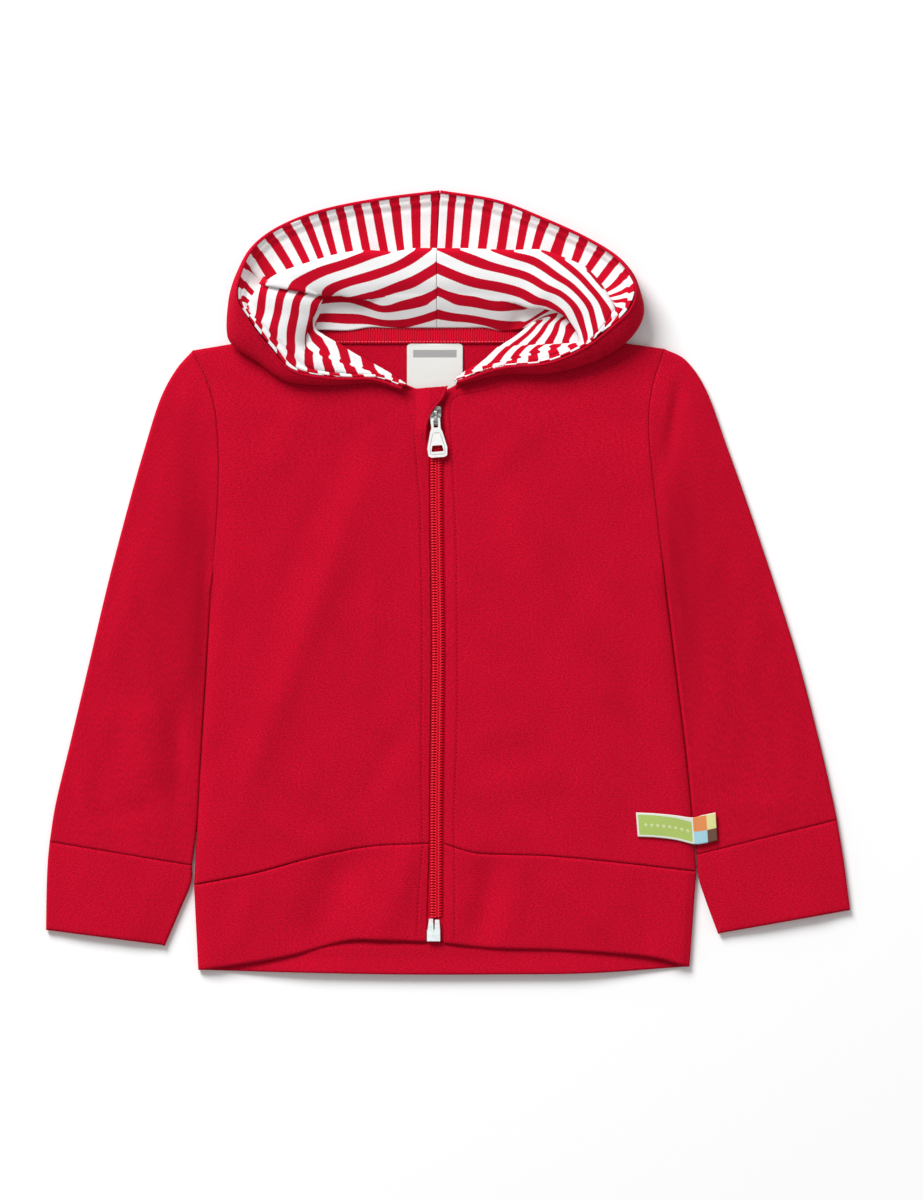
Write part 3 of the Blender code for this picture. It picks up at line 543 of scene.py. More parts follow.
def twill():
    """Cotton tape with fine ribs across it."""
    made = Shader("twill_tape", (0.60, 0.005, 0.022), 0.9, Specular_IOR_Level=0.06)
    place = made.weave()
    u, v, _ = made.parts(place)
    ribs = made.wave(u, TURN / 1.55)
    slant = made.wave(made.add(u, v), 7.0)
    shade = made.add(made.times(ribs, 0.25), made.times(made.noise(place, 1.6), 0.9))
    made.colour(made.blend(made.ramp(shade, 0.1, 0.9), (0.50, 0.003, 0.018), (0.72, 0.007, 0.030)))
    made.bump(made.add(ribs, made.times(slant, 0.3)), 0.18)
    return made.material


def satin():
    """White satin label: smooth, with a faint weave and one plain grey bar near the top."""
    made = Shader("size_label", (0.74, 0.73, 0.70), 0.45, Specular_IOR_Level=0.5, Sheen_Weight=0.1)
    place = made.weave()
    threads = made.wave(made.parts(place)[1], TURN / 0.35)
    spot = made.noise(place, 2.2, 3.0)
    paper = made.blend(made.ramp(spot, 0.3, 0.7), (0.75, 0.755, 0.72), (0.82, 0.825, 0.79))
    made.colour(made.blend(made.ramp(made.attribute("bar"), 0.45, 0.55), paper, (0.36, 0.36, 0.355)))
    made.bump(made.add(threads, made.times(spot, 1.5)), 0.05)
    return made.material


def plain(name, colour, roughness, scale, detail, dark, light, uneven, band=(0.3, 0.7), **fixed):
    """A hard or spun material: a fine noise runs its colour from dark to light and roughens it."""
    made = Shader(name, colour, roughness, **fixed)
    grain = made.noise(made.node("ShaderNodeTexCoord").outputs["Object"], scale, detail)
    made.colour(made.blend(made.ramp(grain, *band), dark, light))
    made.bump(grain, uneven)
    return made.material


def thread(name, colour):
    """Spun sewing thread."""
    light = [min(c * 1.15, 1.0) for c in colour]
    return plain(name, colour, 0.85, 2500.0, 2.0, [c * 0.8 for c in colour], light, 0.06,
                 Specular_IOR_Level=0.05)


def nylon(name, colour):
    """The zip's coil and the like: smooth moulded thread."""
    return plain(name, colour, 0.6, 900.0, 3.0, [c * 0.82 for c in colour], colour, 0.04,
                 Specular_IOR_Level=0.06)


def enamel():
    """Glossy white lacquer over cast metal, with a very slight unevenness."""
    return plain("white_enamel", (0.80, 0.80, 0.79), 0.22, 350.0, 3.0, (0.74, 0.74, 0.73),
                 (0.84, 0.84, 0.83), 0.05, (0.3, 0.8), Specular_IOR_Level=0.6, Coat_Weight=0.5,
                 Coat_Roughness=0.08)


def metal():
    """Worn die-cast slider: brushed, darker in its pits."""
    made = Shader("zip_metal", (0.5, 0.5, 0.49), 0.38, Metallic=1.0)
    wear = made.noise(made.node("ShaderNodeTexCoord").outputs["Object"], 420.0, 4.0, 0.7)
    made.colour(made.blend(made.ramp(wear, 0.4, 0.62), (0.20, 0.20, 0.19), (0.72, 0.72, 0.71)))
    made.feed(made.add(made.times(wear, 0.35), 0.2), made.surface.inputs["Roughness"])
    made.bump(wear, 0.06)
    return made.material


def clear_plastic():
    """Milky plastic of the zip's lower end."""
    return plain("zip_stop", (0.84, 0.84, 0.83), 0.3, 500.0, 3.0, (0.74, 0.74, 0.73),
                 (0.90, 0.90, 0.89), 0.08, Specular_IOR_Level=0.5, Subsurface_Weight=0.2, Coat_Weight=0.3)


RED = (0.512, 0.0033, 0.0222)
RED_DARK = (0.325, 0.0019, 0.0135)
JERSEY = jersey("red_jersey", RED, RED_DARK)
SHELL = jersey("red_hood_jersey", RED, RED_DARK, nap=0.3)
STRIPES = striped()
TWILL = twill()
SATIN = satin()
TAPE = jersey("zip_tape", (0.50, 0.003, 0.02), (0.43, 0.0025, 0.016), wale=0.6, course=0.5, nap=0.1)
RED_THREAD = thread("red_thread", (0.34, 0.003, 0.015))
TAPE_THREAD = thread("tape_thread", (0.86, 0.10, 0.15))
COIL = nylon("zip_coil", (0.74, 0.0035, 0.021))
# Light thread on the coil: real sewing thread, and its light colour is also a painted highlight on the
# coil's turns
COIL_THREAD_AND_SHINE = thread("coil_thread_and_shine", (0.80, 0.11, 0.13))
ENAMEL = enamel()
# Grey of the tab's raised line: painted shadow along the edge of the tab's panel
TAB_SHADOW_LINE = nylon("tab_painted_shadow_line", (0.42, 0.42, 0.42))
METAL = metal()
PLASTIC = clear_plastic()


# Topstitching: lines beside the zip and round the neck, on the fronts and on down the hem band

LEFT_STITCH = [(-34.8, 128.8), (-29.3, 123.7), (-24.7, 113.6), (-22.9, 105), (-21.5, 92), (-20, 76),
    (-18.1, 50), (-17.4, 10), (-16.8, -20), (-16.8, -65), (-17.3, -100), (-17.2, -135), (-16.9, -160),
    (-16.6, -178), (-19, -208), (-20.3, -237)]
RIGHT_STITCH = [(35.5, 130.7), (20.7, 127.5), (11.4, 125.6), (5, 123.7), (2.2, 118.2), (1.7, 109.9),
    (2.2, 102.5), (3.3, 85), (4.8, 54), (5.9, 30), (6.7, -17), (6.9, -60), (6.8, -87), (6.2, -111),
    (5.3, -134), (4.5, -157), (4.7, -181), (5.2, -204), (4.8, -239)]
GROOVE_DEEP = 0.42
GROOVE_WIDE = 0.8


def dent(distance, place, wide, deep):
    """A rounded hollow, deepest at the distance that place gives."""
    return deep * np.exp(-((distance - place) / wide) ** 2)


def groove(line, x, y):
    """How deep a row of stitches pulls the cloth down."""
    return dent(away_from(line, x, y), 0, GROOVE_WIDE, GROOVE_DEEP)


# Fronts

ZIP_FALL = 0.5            # how much lower a front lies beside the zip
ZIP_FALL_WIDE = 4.0       # and how wide that slope is
HEM_TO_ZIP_TOP = 14.0     # steps of the solid's rows up to the zip's top
ALL_STEPS = 20.0          # with those on along the neck to the shoulder seam
SEAM_DIP = 0.35           # how much lower cloth lies at a seam
ARMHOLE_BLEND = 14.0      # the armhole's edge takes over within this far of its lower end


def beside_zip(distance):
    """How much lower the cloth lies this far from its edge at the zip."""
    return edge_drop(distance, 1.2, 0.5) + dent(distance, 0, ZIP_FALL_WIDE, ZIP_FALL)


def front_height(x, y, line):
    return FRONT_TOP + fold_height(x, y) - groove(line, x, y)


def front_panel(name, edge_x, neck, seam, side, armhole, line, outward):
    """A front: rows run from the zip or the neck out to the side seam or the armhole."""
    steps = runs(0, (HEM_TO_ZIP_TOP, 168), (ALL_STEPS, 60))
    outer = evenly(np.concatenate((points_of(side), points_of(armhole)[1:])), steps / ALL_STEPS)
    on_neck = np.clip((steps - HEM_TO_ZIP_TOP) / (ALL_STEPS - HEM_TO_ZIP_TOP), 0, 1)
    first = evenly(points_of(neck), on_neck)
    hem_y = seam["y"][0]
    up = steps / HEM_TO_ZIP_TOP
    inner = np.where((steps <= HEM_TO_ZIP_TOP)[:, None],
                     np.column_stack((np.full(len(steps), edge_x), mix(hem_y, first[0, 1], up))), first)
    t = runs(0, (0.008, 4), (0.07, 21), (0.95, 71), (1, 8))
    x = mix(inner[:, None, 0], outer[:, None, 0], t)
    y = mix(inner[:, None, 1], outer[:, None, 1], t)
    reach = np.abs(x - edge_x) / abs(seam["x"][-1] - edge_x)
    sag = along(seam["y"], reach) - mix(seam["y"][0], seam["y"][-1], reach)
    y = y + sag * np.clip(1 - 2 * up, 0, 1)[:, None]
    x = bowed(x, y)
    wide = np.linalg.norm(outer - inner, axis=1)[:, None]
    to_side = (1 - t) * wide
    from_edge = t * wide
    neck_line = evenly(points_of(neck), shares(40))
    to_neck = away_from(neck_line, x, y)
    shoulder = math.dist(inner[-1], first[0])
    to_shoulder = ((1 - steps / ALL_STEPS) * shoulder)[:, None] + 0 * x
    to_hem = (up * abs(first[0, 1] - hem_y))[:, None] + 0 * x
    side_seam = soft((armhole["y"][0] - outer[:, 1]) / ARMHOLE_BLEND / 2 + 0.5)[:, None]
    z = front_height(x, y, line)
    z = z - edge_drop(to_side, EDGE_ROLL, FRONT_TOP - SIDE_TOP) * side_seam
    z = z - edge_drop(to_side, 2.5, SEAM_DIP) * (1 - side_seam)
    z = z - edge_drop(to_shoulder, EDGE_ROLL, FRONT_TOP - SIDE_TOP) * (1 - side_seam)
    z = z - edge_drop(to_hem, 2.0, SEAM_DIP) - edge_drop(to_neck, 3.0, 0.5)
    z = np.maximum(z - beside_zip(from_edge), SIDE_TOP)
    made = cloth(name, np.stack((x, y, z), axis=-1), JERSEY, BODY_CLOTH, upwards=outward > 0)
    put_on(made, GARMENT, "red_jersey", name)


BACK_NECK = ((-84.0, 167.4), (51.0, 167.4))      # the ends of the back's straight edge in the neck


def back_panel():
    """The back, flat below, whose upper face shows inside the neck."""
    steps = shares(120)
    left = evenly(np.concatenate((points_of(LEFT_SIDE), points_of(LEFT_ARMHOLE)[1:])), steps)
    right = evenly(np.concatenate((points_of(RIGHT_SIDE), points_of(RIGHT_ARMHOLE)[1:])), steps)
    t = shares(110)
    x = mix(left[:, None, 0], right[:, None, 0], t)
    level = mix(left[:, None, 1], right[:, None, 1], t)
    top = np.vstack((points_of(LEFT_ARMHOLE)[-1], points_of(LEFT_NECK)[-1], BACK_NECK,
                     points_of(RIGHT_NECK)[-1], points_of(RIGHT_ARMHOLE)[-1]))
    top_y = np.interp(x, top[:, 0], top[:, 1])
    share = steps[:, None] ** 6
    y = level + (top_y - level) * share
    made = cloth("back_panel", np.stack((x, y, np.full_like(x, BODY_CLOTH)), axis=-1), JERSEY, BODY_CLOTH)
    put_on(made, GARMENT, "red_jersey", "back_panel")


# Sleeves and cuffs

def flattened_ring(outer, inner, outer_in, inner_in, height, bow=None, dip=0.0, low=0.0):
    """Points round a flattened tube, from its outer edge over the top to its inner edge and back."""
    outer, inner, outer_in, inner_in = (np.array(p, float) for p in (outer, inner, outer_in, inner_in))
    flat_start, flat_end = outer + outer_in, inner + inner_in
    width = math.dist(flat_start, flat_end)

    def on_edge(tip, inwards, turns):
        across = tip + inwards * (1 - np.cos(turns))[:, None]
        return np.column_stack((across, SLEEVE_EDGE / 2 * (1 + np.sin(turns))))

    def on_flat(t, top):
        place = mix(flat_start, flat_end, t[:, None])
        if bow is not None:
            place = place + bow(t)
        to_edge = np.minimum(t, 1 - t) * width
        puff = mix(SLEEVE_EDGE, height, soft(to_edge / PUFF_WIDE))
        puff = puff + fold_height(place[:, 0], place[:, 1]) * soft(to_edge / FOLDS_FROM) - dip
        return np.column_stack((place, puff if top else np.full(len(t), low)))

    quarter = TURN / 4
    corner = np.arange(6) / 6
    return np.concatenate((
        on_edge(outer, outer_in, quarter * corner),
        on_flat(shares(62), True),
        on_edge(inner, inner_in, quarter * (1 - np.arange(1, 12) / 6)),
        on_flat(np.linspace(1, 0, 12), False),
        on_edge(outer, outer_in, quarter * (corner[1:] - 1))))


def inwards(points, i, towards):
    """Across a line of points at one of them, towards another point: half as long as the edge is high."""
    run = points[min(i + 1, len(points) - 1)] - points[max(i - 1, 0)]
    across = unit(np.array((-run[1], run[0]))) * SLEEVE_EDGE / 2
    return across if across @ (towards - points[i]) > 0 else -across


SLEEVE_RINGS = 150
SLEEVE_LONG = 340.0
SLEEVE_GAP = 0.1


def sleeve(name, edge, side, armhole, cuff_corners, outward):
    """A sleeve: its first ring follows the armhole, and its inner edge lies along the side seam."""
    gap = np.array((SLEEVE_GAP * outward, 0.0))
    hole = evenly(points_of(armhole), shares(25)) + gap
    end = np.array((cuff_corners["inner_x"][0], cuff_corners["inner_y"][0]))
    side_points = points_of(side)
    seam = np.vstack((side_points[side_points[:, 1] > end[1] + 12][::-1] + gap, end))
    steps = shares(SLEEVE_RINGS)
    outer = evenly(np.vstack((hole[-1], points_of(edge)[1:])), steps)
    inner = evenly(seam, steps)
    down_hole = unit(hole[-4] - hole[-1]) * SLEEVE_EDGE * 0.8
    to_body = np.array((outward * 0.3, 0.0))
    first_start, first_end = outer[0] + down_hole, inner[0] + to_body
    turning = soft(steps / 0.06)
    rings = []
    for j, step in enumerate(steps):
        fade = (1 - step) ** 3

        def bow(t):
            follow = soft((1 - t) / 0.3)
            share = mix(soft((1 - t) / 0.02), follow, turning[j]) * fade
            target = along(hole, mix(0.97, 0.0, t))
            return (target - mix(first_start, first_end, t[:, None])) * share[:, None]

        across = inwards(outer, j, inner[j])
        outer_in = mix(down_hole, across, turning[j])
        inner_in = mix(to_body, inwards(inner, j, outer[j]), turning[j])
        height = mix(SLEEVE_HIGH, SLEEVE_HIGH - 0.4, step)
        from_seam = step * SLEEVE_LONG
        to_cuff = (1 - step) * SLEEVE_LONG
        dip = dent(from_seam, 0, 1.6, 0.25) + dent(to_cuff, 0, 1.5, SEAM_DIP)
        low = (BODY_CLOTH + 0.1) * (1 - float(soft((from_seam - 10) / 10)))
        rings.append(flattened_ring(outer[j], inner[j], outer_in, inner_in, height, bow, dip, low))
    made = cloth(name, np.array(rings), JERSEY, BODY_CLOTH, ring=True, upwards=outward > 0)
    put_on(made, GARMENT, "red_jersey", name)


CUFF_RINGS = 44
CUFF_LONG = 56.0


def cuff(name, corners, outward):
    steps = shares(CUFF_RINGS)
    lower = SEAM * (1 - steps)
    outer = np.column_stack((along(corners["outer_x"], steps), along(corners["outer_y"], steps) - lower))
    inner = np.column_stack((along(corners["inner_x"], steps), along(corners["inner_y"], steps) - lower))
    rings = []
    for j, step in enumerate(steps):
        from_seam, to_end = step * CUFF_LONG, (1 - step) * CUFF_LONG
        dip = dent(from_seam, 0, 1.5, SEAM_DIP) + dent(to_end, 0, 0.9, 0.5)
        rings.append(flattened_ring(outer[j], inner[j], inwards(outer, j, inner[j]),
                                    inwards(inner, j, outer[j]), SLEEVE_HIGH - 0.4, None, dip))
    made = cloth(name, np.array(rings), JERSEY, BODY_CLOTH, ring=True, upwards=outward > 0)
    put_on(made, GARMENT, "red_jersey", name)


# Hem band

BAND_HIGH = 62.0


def band_front(seam, hem, line, outward, down):
    """One row over a front, this share down the band, from the zip out to the side fold."""
    t = runs(0, (0.06, 15), (1, 75))
    x = mix(along(seam["x"], t), along(hem["x"], t), down) - outward * SLEEVE_EDGE / 2 * t
    y = mix(along(seam["y"], t) - SEAM, along(hem["y"], t), down)
    wide = abs(hem["x"][-1] - hem["x"][0])
    to_side = (1 - t) * wide
    z = FRONT_TOP - edge_drop(to_side, EDGE_ROLL, FRONT_TOP - SLEEVE_EDGE)
    z = z + fold_height(x, y) * soft(to_side / FOLDS_FROM) - groove(line, x, y)
    z = z - edge_drop(down * BAND_HIGH, 2.0, SEAM_DIP) - edge_drop((1 - down) * BAND_HIGH, 1.4, 0.7)
    return np.column_stack((x, y, z - beside_zip(t * wide)))


def band_fold(start, y_end, outward):
    """Half a turn round the side fold, from the front down to the back."""
    share = np.arange(1, 12) / 12
    turn = TURN / 2 * share
    x = start[0] + outward * SLEEVE_EDGE / 2 * np.sin(turn)
    return np.column_stack((x, mix(start[1], y_end, share), SLEEVE_EDGE / 2 * (1 + np.cos(turn))))


def hem_band():
    """One strip round the hem: from the zip over the left front, round the back and up to the zip again."""
    rows = []
    t = shares(90)
    left_top, right_top = LEFT_SIDE["y"][0] - SEAM, RIGHT_SIDE["y"][0] - SEAM
    for down in shares(40):
        left = band_front(LEFT_SEAM, LEFT_HEM, LEFT_STITCH, -1, down)
        right = band_front(RIGHT_SEAM, RIGHT_HEM, RIGHT_STITCH, 1, down)
        left_fold = band_fold(left[-1], mix(left_top, BACK_HEM["y"][0], down), -1)
        right_fold = band_fold(right[-1], mix(right_top, BACK_HEM["y"][-1], down), 1)
        curl = 2.6 * soft((down - 0.5) / 0.25) + 1.4 * soft((down - 0.8) / 0.2)
        back = np.column_stack((mix(left[-1][0], right[-1][0], t),
                                mix(mix(left_top, right_top, t), along(BACK_HEM["y"], t), down),
                                curl * soft(np.minimum(t, 1 - t) / 0.25)))
        rows.append(np.vstack((left, left_fold, back, right_fold[::-1], right[::-1])))
    made = cloth("hem_band", np.array(rows), JERSEY, BODY_CLOTH)
    put_on(made, GARMENT, "red_jersey", "hem_band")


# Hood. A row is a spoke of the lining, from the nape round one side to the front of the neck. A spoke runs
# from the neck seam up the inside (edge), over the roll to its crest, down behind it and up to the rim.
# tuck is how far the cloth goes in under the roll's inner edge, and drop how far it falls behind the crest.
# The last columns, on a row's second line, number the stripes there: the first half of each is white.

LINING_COLUMNS = ("neck_x neck_y neck_z edge_x edge_y edge_z tuck crest_x crest_y crest_z drop rim_x rim_y"
                  " rim_z s_neck s_under s_edge s_roll s_crest s_foot s_rim")
LINING_LEFT = table(
    LINING_COLUMNS,
    (-6.8, 170.7, 3.3, -6.8, 193, 16, 0, -6.8, 220.8, 22, 16, -4.8, 260.4, 14,
     0.05, 1.5, 1.73, 2.6, 3.37, 20.9, 20.9),
    (-18, 170.7, 3.3, -19.5, 193, 16, 0, -21.4, 220.8, 22, 16, -25, 257.8, 14,
     0.3, 1.9, 2.15, 3.06, 4, 19.65, 19.45),
    (-28, 170.7, 3.3, -31.5, 193, 16, 0, -36, 218.6, 22.2, 16, -46.2, 255.2, 14.2,
     0.5, 2.1, 2.39, 3.4, 4.47, 18.23, 17.9),
    (-40, 170.7, 3.3, -46, 191, 16, 0.5, -54, 219.5, 22.5, 16, -65, 252.6, 14.6,
     0.45, 2.2, 2.6, 3.8, 4.95, 16.7, 16.3),
    (-52, 170.7, 3.3, -60.3, 189.6, 16, 2, -71.7, 217.1, 22.8, 16, -83.8, 247.6, 15.2,
     0.35, 1.75, 2.75, 4, 5.3, 15.07, 14.7),
    (-66, 168.5, 3, -72, 192, 16.3, 3.5, -89, 212.3, 23.5, 15, -100.2, 241.6, 16.6,
     0.2, 1.85, 3.2, 4.35, 5.3, 13.13, 13.3),
    (-82, 168.8, 4.5, -81.5, 191.3, 16.5, 4, -109, 205.5, 24.2, 13, -118.6, 232.6, 19,
     0.1, 1.9, 3.8, 4.6, 5.45, 11.25, 11.8),
    (-88, 168.8, 6.5, -84, 192, 17.5, 5, -121.5, 198.5, 24.6, 11, -133.4, 217.6, 23,
     0.1, 2, 4, 4.85, 5.55, 10.25, 10.25),
    (-89, 168.6, 7.2, -85, 193.5, 12.5, 6, -121, 202.5, 19, 9, -136.3, 210, 24,
     0.2, 1.8, 3.4, 4.6, 5.8, 9.7, 9.5),
    (-89.5, 168.4, 8, -84.5, 187, 15.5, 7, -126.5, 192.5, 23.5, 7, -138.2, 203, 25.2,
     0.3, 1.6, 2.4, 4.25, 6.15, 9.2, 8.9),
    (-88, 167, 8.5, -90.3, 177, 15, 7, -131.5, 181, 23, 3, -139, 188, 26,
     0.5, 1.7, 2.65, 4.5, 6.5, 7.7, 7.6),
    (-80, 163.5, 9, -95, 164.5, 13.5, 4, -125, 172, 23.2, 0.5, -130.6, 173.5, 24.6,
     1.2, 2.2, 2.9, 4.2, 5.7, 6.25, 6.25),
    (-71, 158.3, 9.5, -93, 155, 12.6, 1, -110, 157, 20, 0, -117.4, 156.8, 21.4,
     0.75, 2.3, 2.75, 3.5, 4.25, 4.8, 4.8),
    (-60, 151.5, 9.5, -76, 147.5, 12.6, 0, -93, 143.8, 17, 0, -103, 142, 18.2,
     0.1, 1.1, 1.35, 2.1, 2.9, 3.7, 3.7),
    (-47, 144.5, 9.6, -57, 142, 12, 0, -68, 138.8, 13.8, 0, -76, 137, 14.8,
     -0.6, -0.1, 0.2, 0.65, 1.1, 2.1, 2.1),
    (-36, 138, 9.8, -41, 137.6, 11, 0, -46, 137, 11.9, 0, -50, 136.9, 12.6,
     -1.1, -0.8, -0.6, -0.35, -0.1, 0.3, 0.3),
    (-27.5, 132, 9.8, -28, 131.6, 10.3, 0, -28.8, 131, 10.9, 0, -29.4, 130.6, 11.2,
     -2, -2, -1.98, -1.96, -1.95, -1.9, -1.9))
LINING_RIGHT = table(
    LINING_COLUMNS,
    (-6.6, 170.7, 3.3, -6.6, 193, 16, 0, -6.6, 220.8, 22, 16, -4.6, 260.4, 14,
     0.1, 1.4, 1.66, 2.56, 3.53, 20.5, 20.5),
    (3, 170.7, 3.3, 5, 193, 16, 0, 9, 220.8, 22, 16, 14, 258.2, 14,
     0.15, 1.7, 1.95, 2.95, 4, 18.95, 18.8),
    (14, 170.7, 3.3, 18, 193, 16, 0, 26, 220.2, 22.2, 16, 33.5, 254.1, 14.2,
     0.2, 1.9, 2.15, 3.3, 4.42, 17.5, 17.3),
    (26, 170.7, 3.3, 33, 191, 16, 0, 45, 219.6, 22.5, 16, 50, 247.8, 14.6,
     0.4, 2, 2.2, 3.45, 5, 16, 16),
    (36, 168.5, 2.8, 46, 187.5, 16, 1, 62.3, 219.5, 22.8, 15, 65.7, 241.8, 15.2,
     0.5, 1.7, 2.15, 3.7, 5.5, 14.39, 14.7),
    (42, 168.6, 3.2, 55, 184, 16.3, 2.5, 80, 213.5, 23.8, 14, 90.6, 230.5, 17.6,
     0.55, 1.6, 2.15, 3.95, 6.05, 13.17, 12.8),
    (50, 169.5, 4.5, 65, 183.5, 16.5, 3, 91.8, 207.6, 24.2, 12, 111.6, 217.8, 20.5,
     0.6, 1.2, 2.3, 4.15, 6.5, 11.85, 10.95),
    (57, 173, 6, 75.7, 180.2, 17.5, 4, 100, 199.4, 24.6, 9, 121.4, 208, 23,
     -1.6, 0.2, 2.6, 4.4, 6.6, 10.8, 9.7),
    (52, 169, 7.5, 82.4, 174, 17.5, 5, 105.5, 191, 24.6, 6, 125.4, 196, 25.2,
     -2, 1.8, 2.9, 4.5, 6.4, 9.6, 8.6),
    (45.7, 164.2, 8.5, 87, 167.5, 17.5, 5, 109.5, 182.5, 24.6, 3, 121.6, 183.3, 26,
     -2, 2.4, 2.95, 4.95, 6.1, 7.7, 7.3),
    (38, 159.3, 9, 89.5, 161.5, 18, 4, 108, 173.5, 24.4, 0.5, 112.3, 173, 25.4,
     -2, 2.7, 3.05, 4.8, 5.8, 6.3, 6.25),
    (34.5, 157, 9.2, 90, 158.8, 17.5, 2, 97.5, 163, 22.5, 0.2, 102, 165.4, 24,
     -2.05, 2.6, 3.1, 4, 4.9, 5.3, 5.3),
    (31.3, 155.2, 9.5, 84, 157.8, 17, 1, 89, 157.6, 20, 0, 92.3, 157.6, 22.4,
     -2.1, 2.2, 2.8, 2.95, 3.1, 3.35, 3.35),
    (25, 148.5, 9.5, 45, 148, 12.5, 0, 58, 147.3, 15.6, 0, 67.5, 147.2, 19,
     -2, -0.6, -0.2, 0.3, 0.8, 1.4, 1.4),
    (14, 142, 9.6, 21, 142.6, 11, 0, 29, 143.2, 13.4, 0, 36, 143.8, 15.6,
     -2.4, -1.9, -1.7, -1.4, -1.1, -0.7, -0.7),
    (5, 134.5, 9.8, 5.4, 134.6, 10.3, 0, 5.8, 134.8, 10.9, 0, 6, 135, 11.4,
     -3.1, -3.1, -3.1, -3.07, -3.05, -3, -3))

LINING_ROWS = 236
LINING_ACROSS = 110
HEM_FOLD = 5.6      # how wide the lining's own hem is, inside the rim

# Points behind the crest. Where the cloth doesn't drop: their share of the way to the rim. Where it does:
# how far out from the crest they lie, their share of the drop and their stripe number
BEHIND_CREST = ((0.12, 0.6, 0.45, "s_crest"), (0.24, -0.9, 0.8, "s_crest"), (0.31, -0.1, 0.93, "s_foot"),
                (0.38, 0.8, 1.0, "s_foot"))


def lining_grid(side):
    """The lining's visible face and its stripe numbers, spoke by spoke."""
    t = shares(LINING_ROWS)
    at = all_along(side, t)
    neck, edge, crest, rim = (np.column_stack([at[place + axis] for axis in ("_x", "_y", "_z")])
                              for place in ("neck", "edge", "crest", "rim"))
    out = unit((rim - neck) * (1, 1, 0))
    tuck = np.maximum(at["tuck"], 0)[:, None]
    drop = np.maximum(at["drop"], 0)[:, None]
    tucked = soft(tuck / 3)
    curled = soft(drop / 8)
    low = np.minimum(neck[:, 2:] + 1.5, edge[:, 2:] - 2)

    def between(a, b, share, rise):
        """Part of the way in plan, and another part of the way up."""
        place = mix(a, b, share)
        place[:, 2] = mix(a[:, 2], b[:, 2], rise)
        return place

    def at_level(place, z):
        return np.column_stack((place[:, 0], place[:, 1], z.ravel()))

    def below_edge(share, rise, under_roll):
        """On the way up to the edge, or where the cloth is tucked in, under the roll."""
        return mix(between(neck, edge, share, rise), under_roll, tucked)

    def outside(share, number):
        """The stripe number beyond the crest: as given where the cloth drops, or in step to the rim."""
        return mix(mix(at["s_crest"], at["s_rim"], share), number, curled.ravel())

    under = at_level(edge + out * tuck, mix(low, edge[:, 2:], 0.35))
    curl_in = at_level(edge + out * tuck * 0.75, edge[:, 2:] - 2.0)
    stations = [
        (neck, at["s_neck"]),
        (below_edge(0.36, 0.4, between(neck, edge, 0.45, 0.12)), mix(at["s_neck"], at["s_under"], 0.45)),
        (below_edge(0.66, 0.72, between(neck, edge, 0.85, 0.3)), mix(at["s_neck"], at["s_under"], 0.85)),
        (below_edge(0.86, 0.9, under), at["s_under"]),
        (below_edge(0.94, 0.96, curl_in), mix(at["s_under"], at["s_edge"], 0.6)),
        (edge, at["s_edge"]),
        (between(edge, crest, 0.3, 0.62), mix(at["s_edge"], at["s_roll"], 0.6)),
        (between(edge, crest, 0.66, 0.93), mix(at["s_roll"], at["s_crest"], 0.32)),
        (crest, at["s_crest"])]
    for share, beyond, fallen, number in BEHIND_CREST:
        dropped = at_level(crest + out * beyond, crest[:, 2:] - fallen * drop)
        stations.append((mix(mix(crest, rim, share), dropped, curled), outside(share, at[number])))
    foot = stations[-1][0]
    foot_share = BEHIND_CREST[-1][0]
    for share in (0.2, 0.45, 0.7, 0.88, 1.0):
        place = between(foot, rim, share, 0.25 * share + 0.75 * share ** 3)
        number = mix(at["s_foot"], at["s_rim"], share)
        stations.append((place, outside(mix(foot_share, 1.0, share), number)))
    knots = np.stack([place for place, _ in stations], axis=1)
    numbers = np.stack([number for _, number in stations], axis=1)
    grid, stripe, to_rim = resample(knots, numbers)
    grid[:, :, 2] += rim_hem(to_rim) * soft(at["rim_z"] / 4 - 2.8)[:, None]
    hem_starts = mix(2.4, HEM_FOLD, curled)
    stripe += mix(0.5, 0.04, curled) * soft((hem_starts - to_rim) / 0.5 + 0.5)
    return grid, stripe


def rim_hem(to_rim):
    """How high the rim's folded hem stands: its row of stitches, its edge and the hollow behind it."""
    stitched = dent(to_rim, 3.2, 0.7, 0.55)
    edge = dent(to_rim, HEM_FOLD, 0.8, 0.35)
    hollow = dent(to_rim, HEM_FOLD + 3.4, 2.4, 0.9)
    return edge - stitched - hollow


def resample(knots, numbers):
    """Each spoke's knots as evenly spaced points on a smooth curve, with the stripe numbers between."""
    grid = np.empty((len(knots), LINING_ACROSS, 3))
    stripe = np.empty(grid.shape[:2])
    to_rim = np.empty(grid.shape[:2])
    fine = shares(16 * knots.shape[1])
    want = shares(LINING_ACROSS)
    for i, (line, number) in enumerate(zip(knots, numbers)):
        track = along(line, fine)
        steps = lengths(track)
        fine_number = np.interp(fine, shares(len(number)), number)
        for k in range(3):
            grid[i, :, k] = np.interp(want * steps[-1], steps, track[:, k])
        stripe[i] = np.interp(want * steps[-1], steps, fine_number)
        to_rim[i] = (1 - want) * steps[-1]
    return grid, stripe, to_rim


def hood_lining(name, side, upwards, *nodes):
    grid, stripe = lining_grid(side)
    made = cloth(name, grid, STRIPES, LINING_CLOTH, upwards=upwards, values={"stripe": stripe})
    put_on(made, GARMENT, "striped_jersey", name, *nodes)


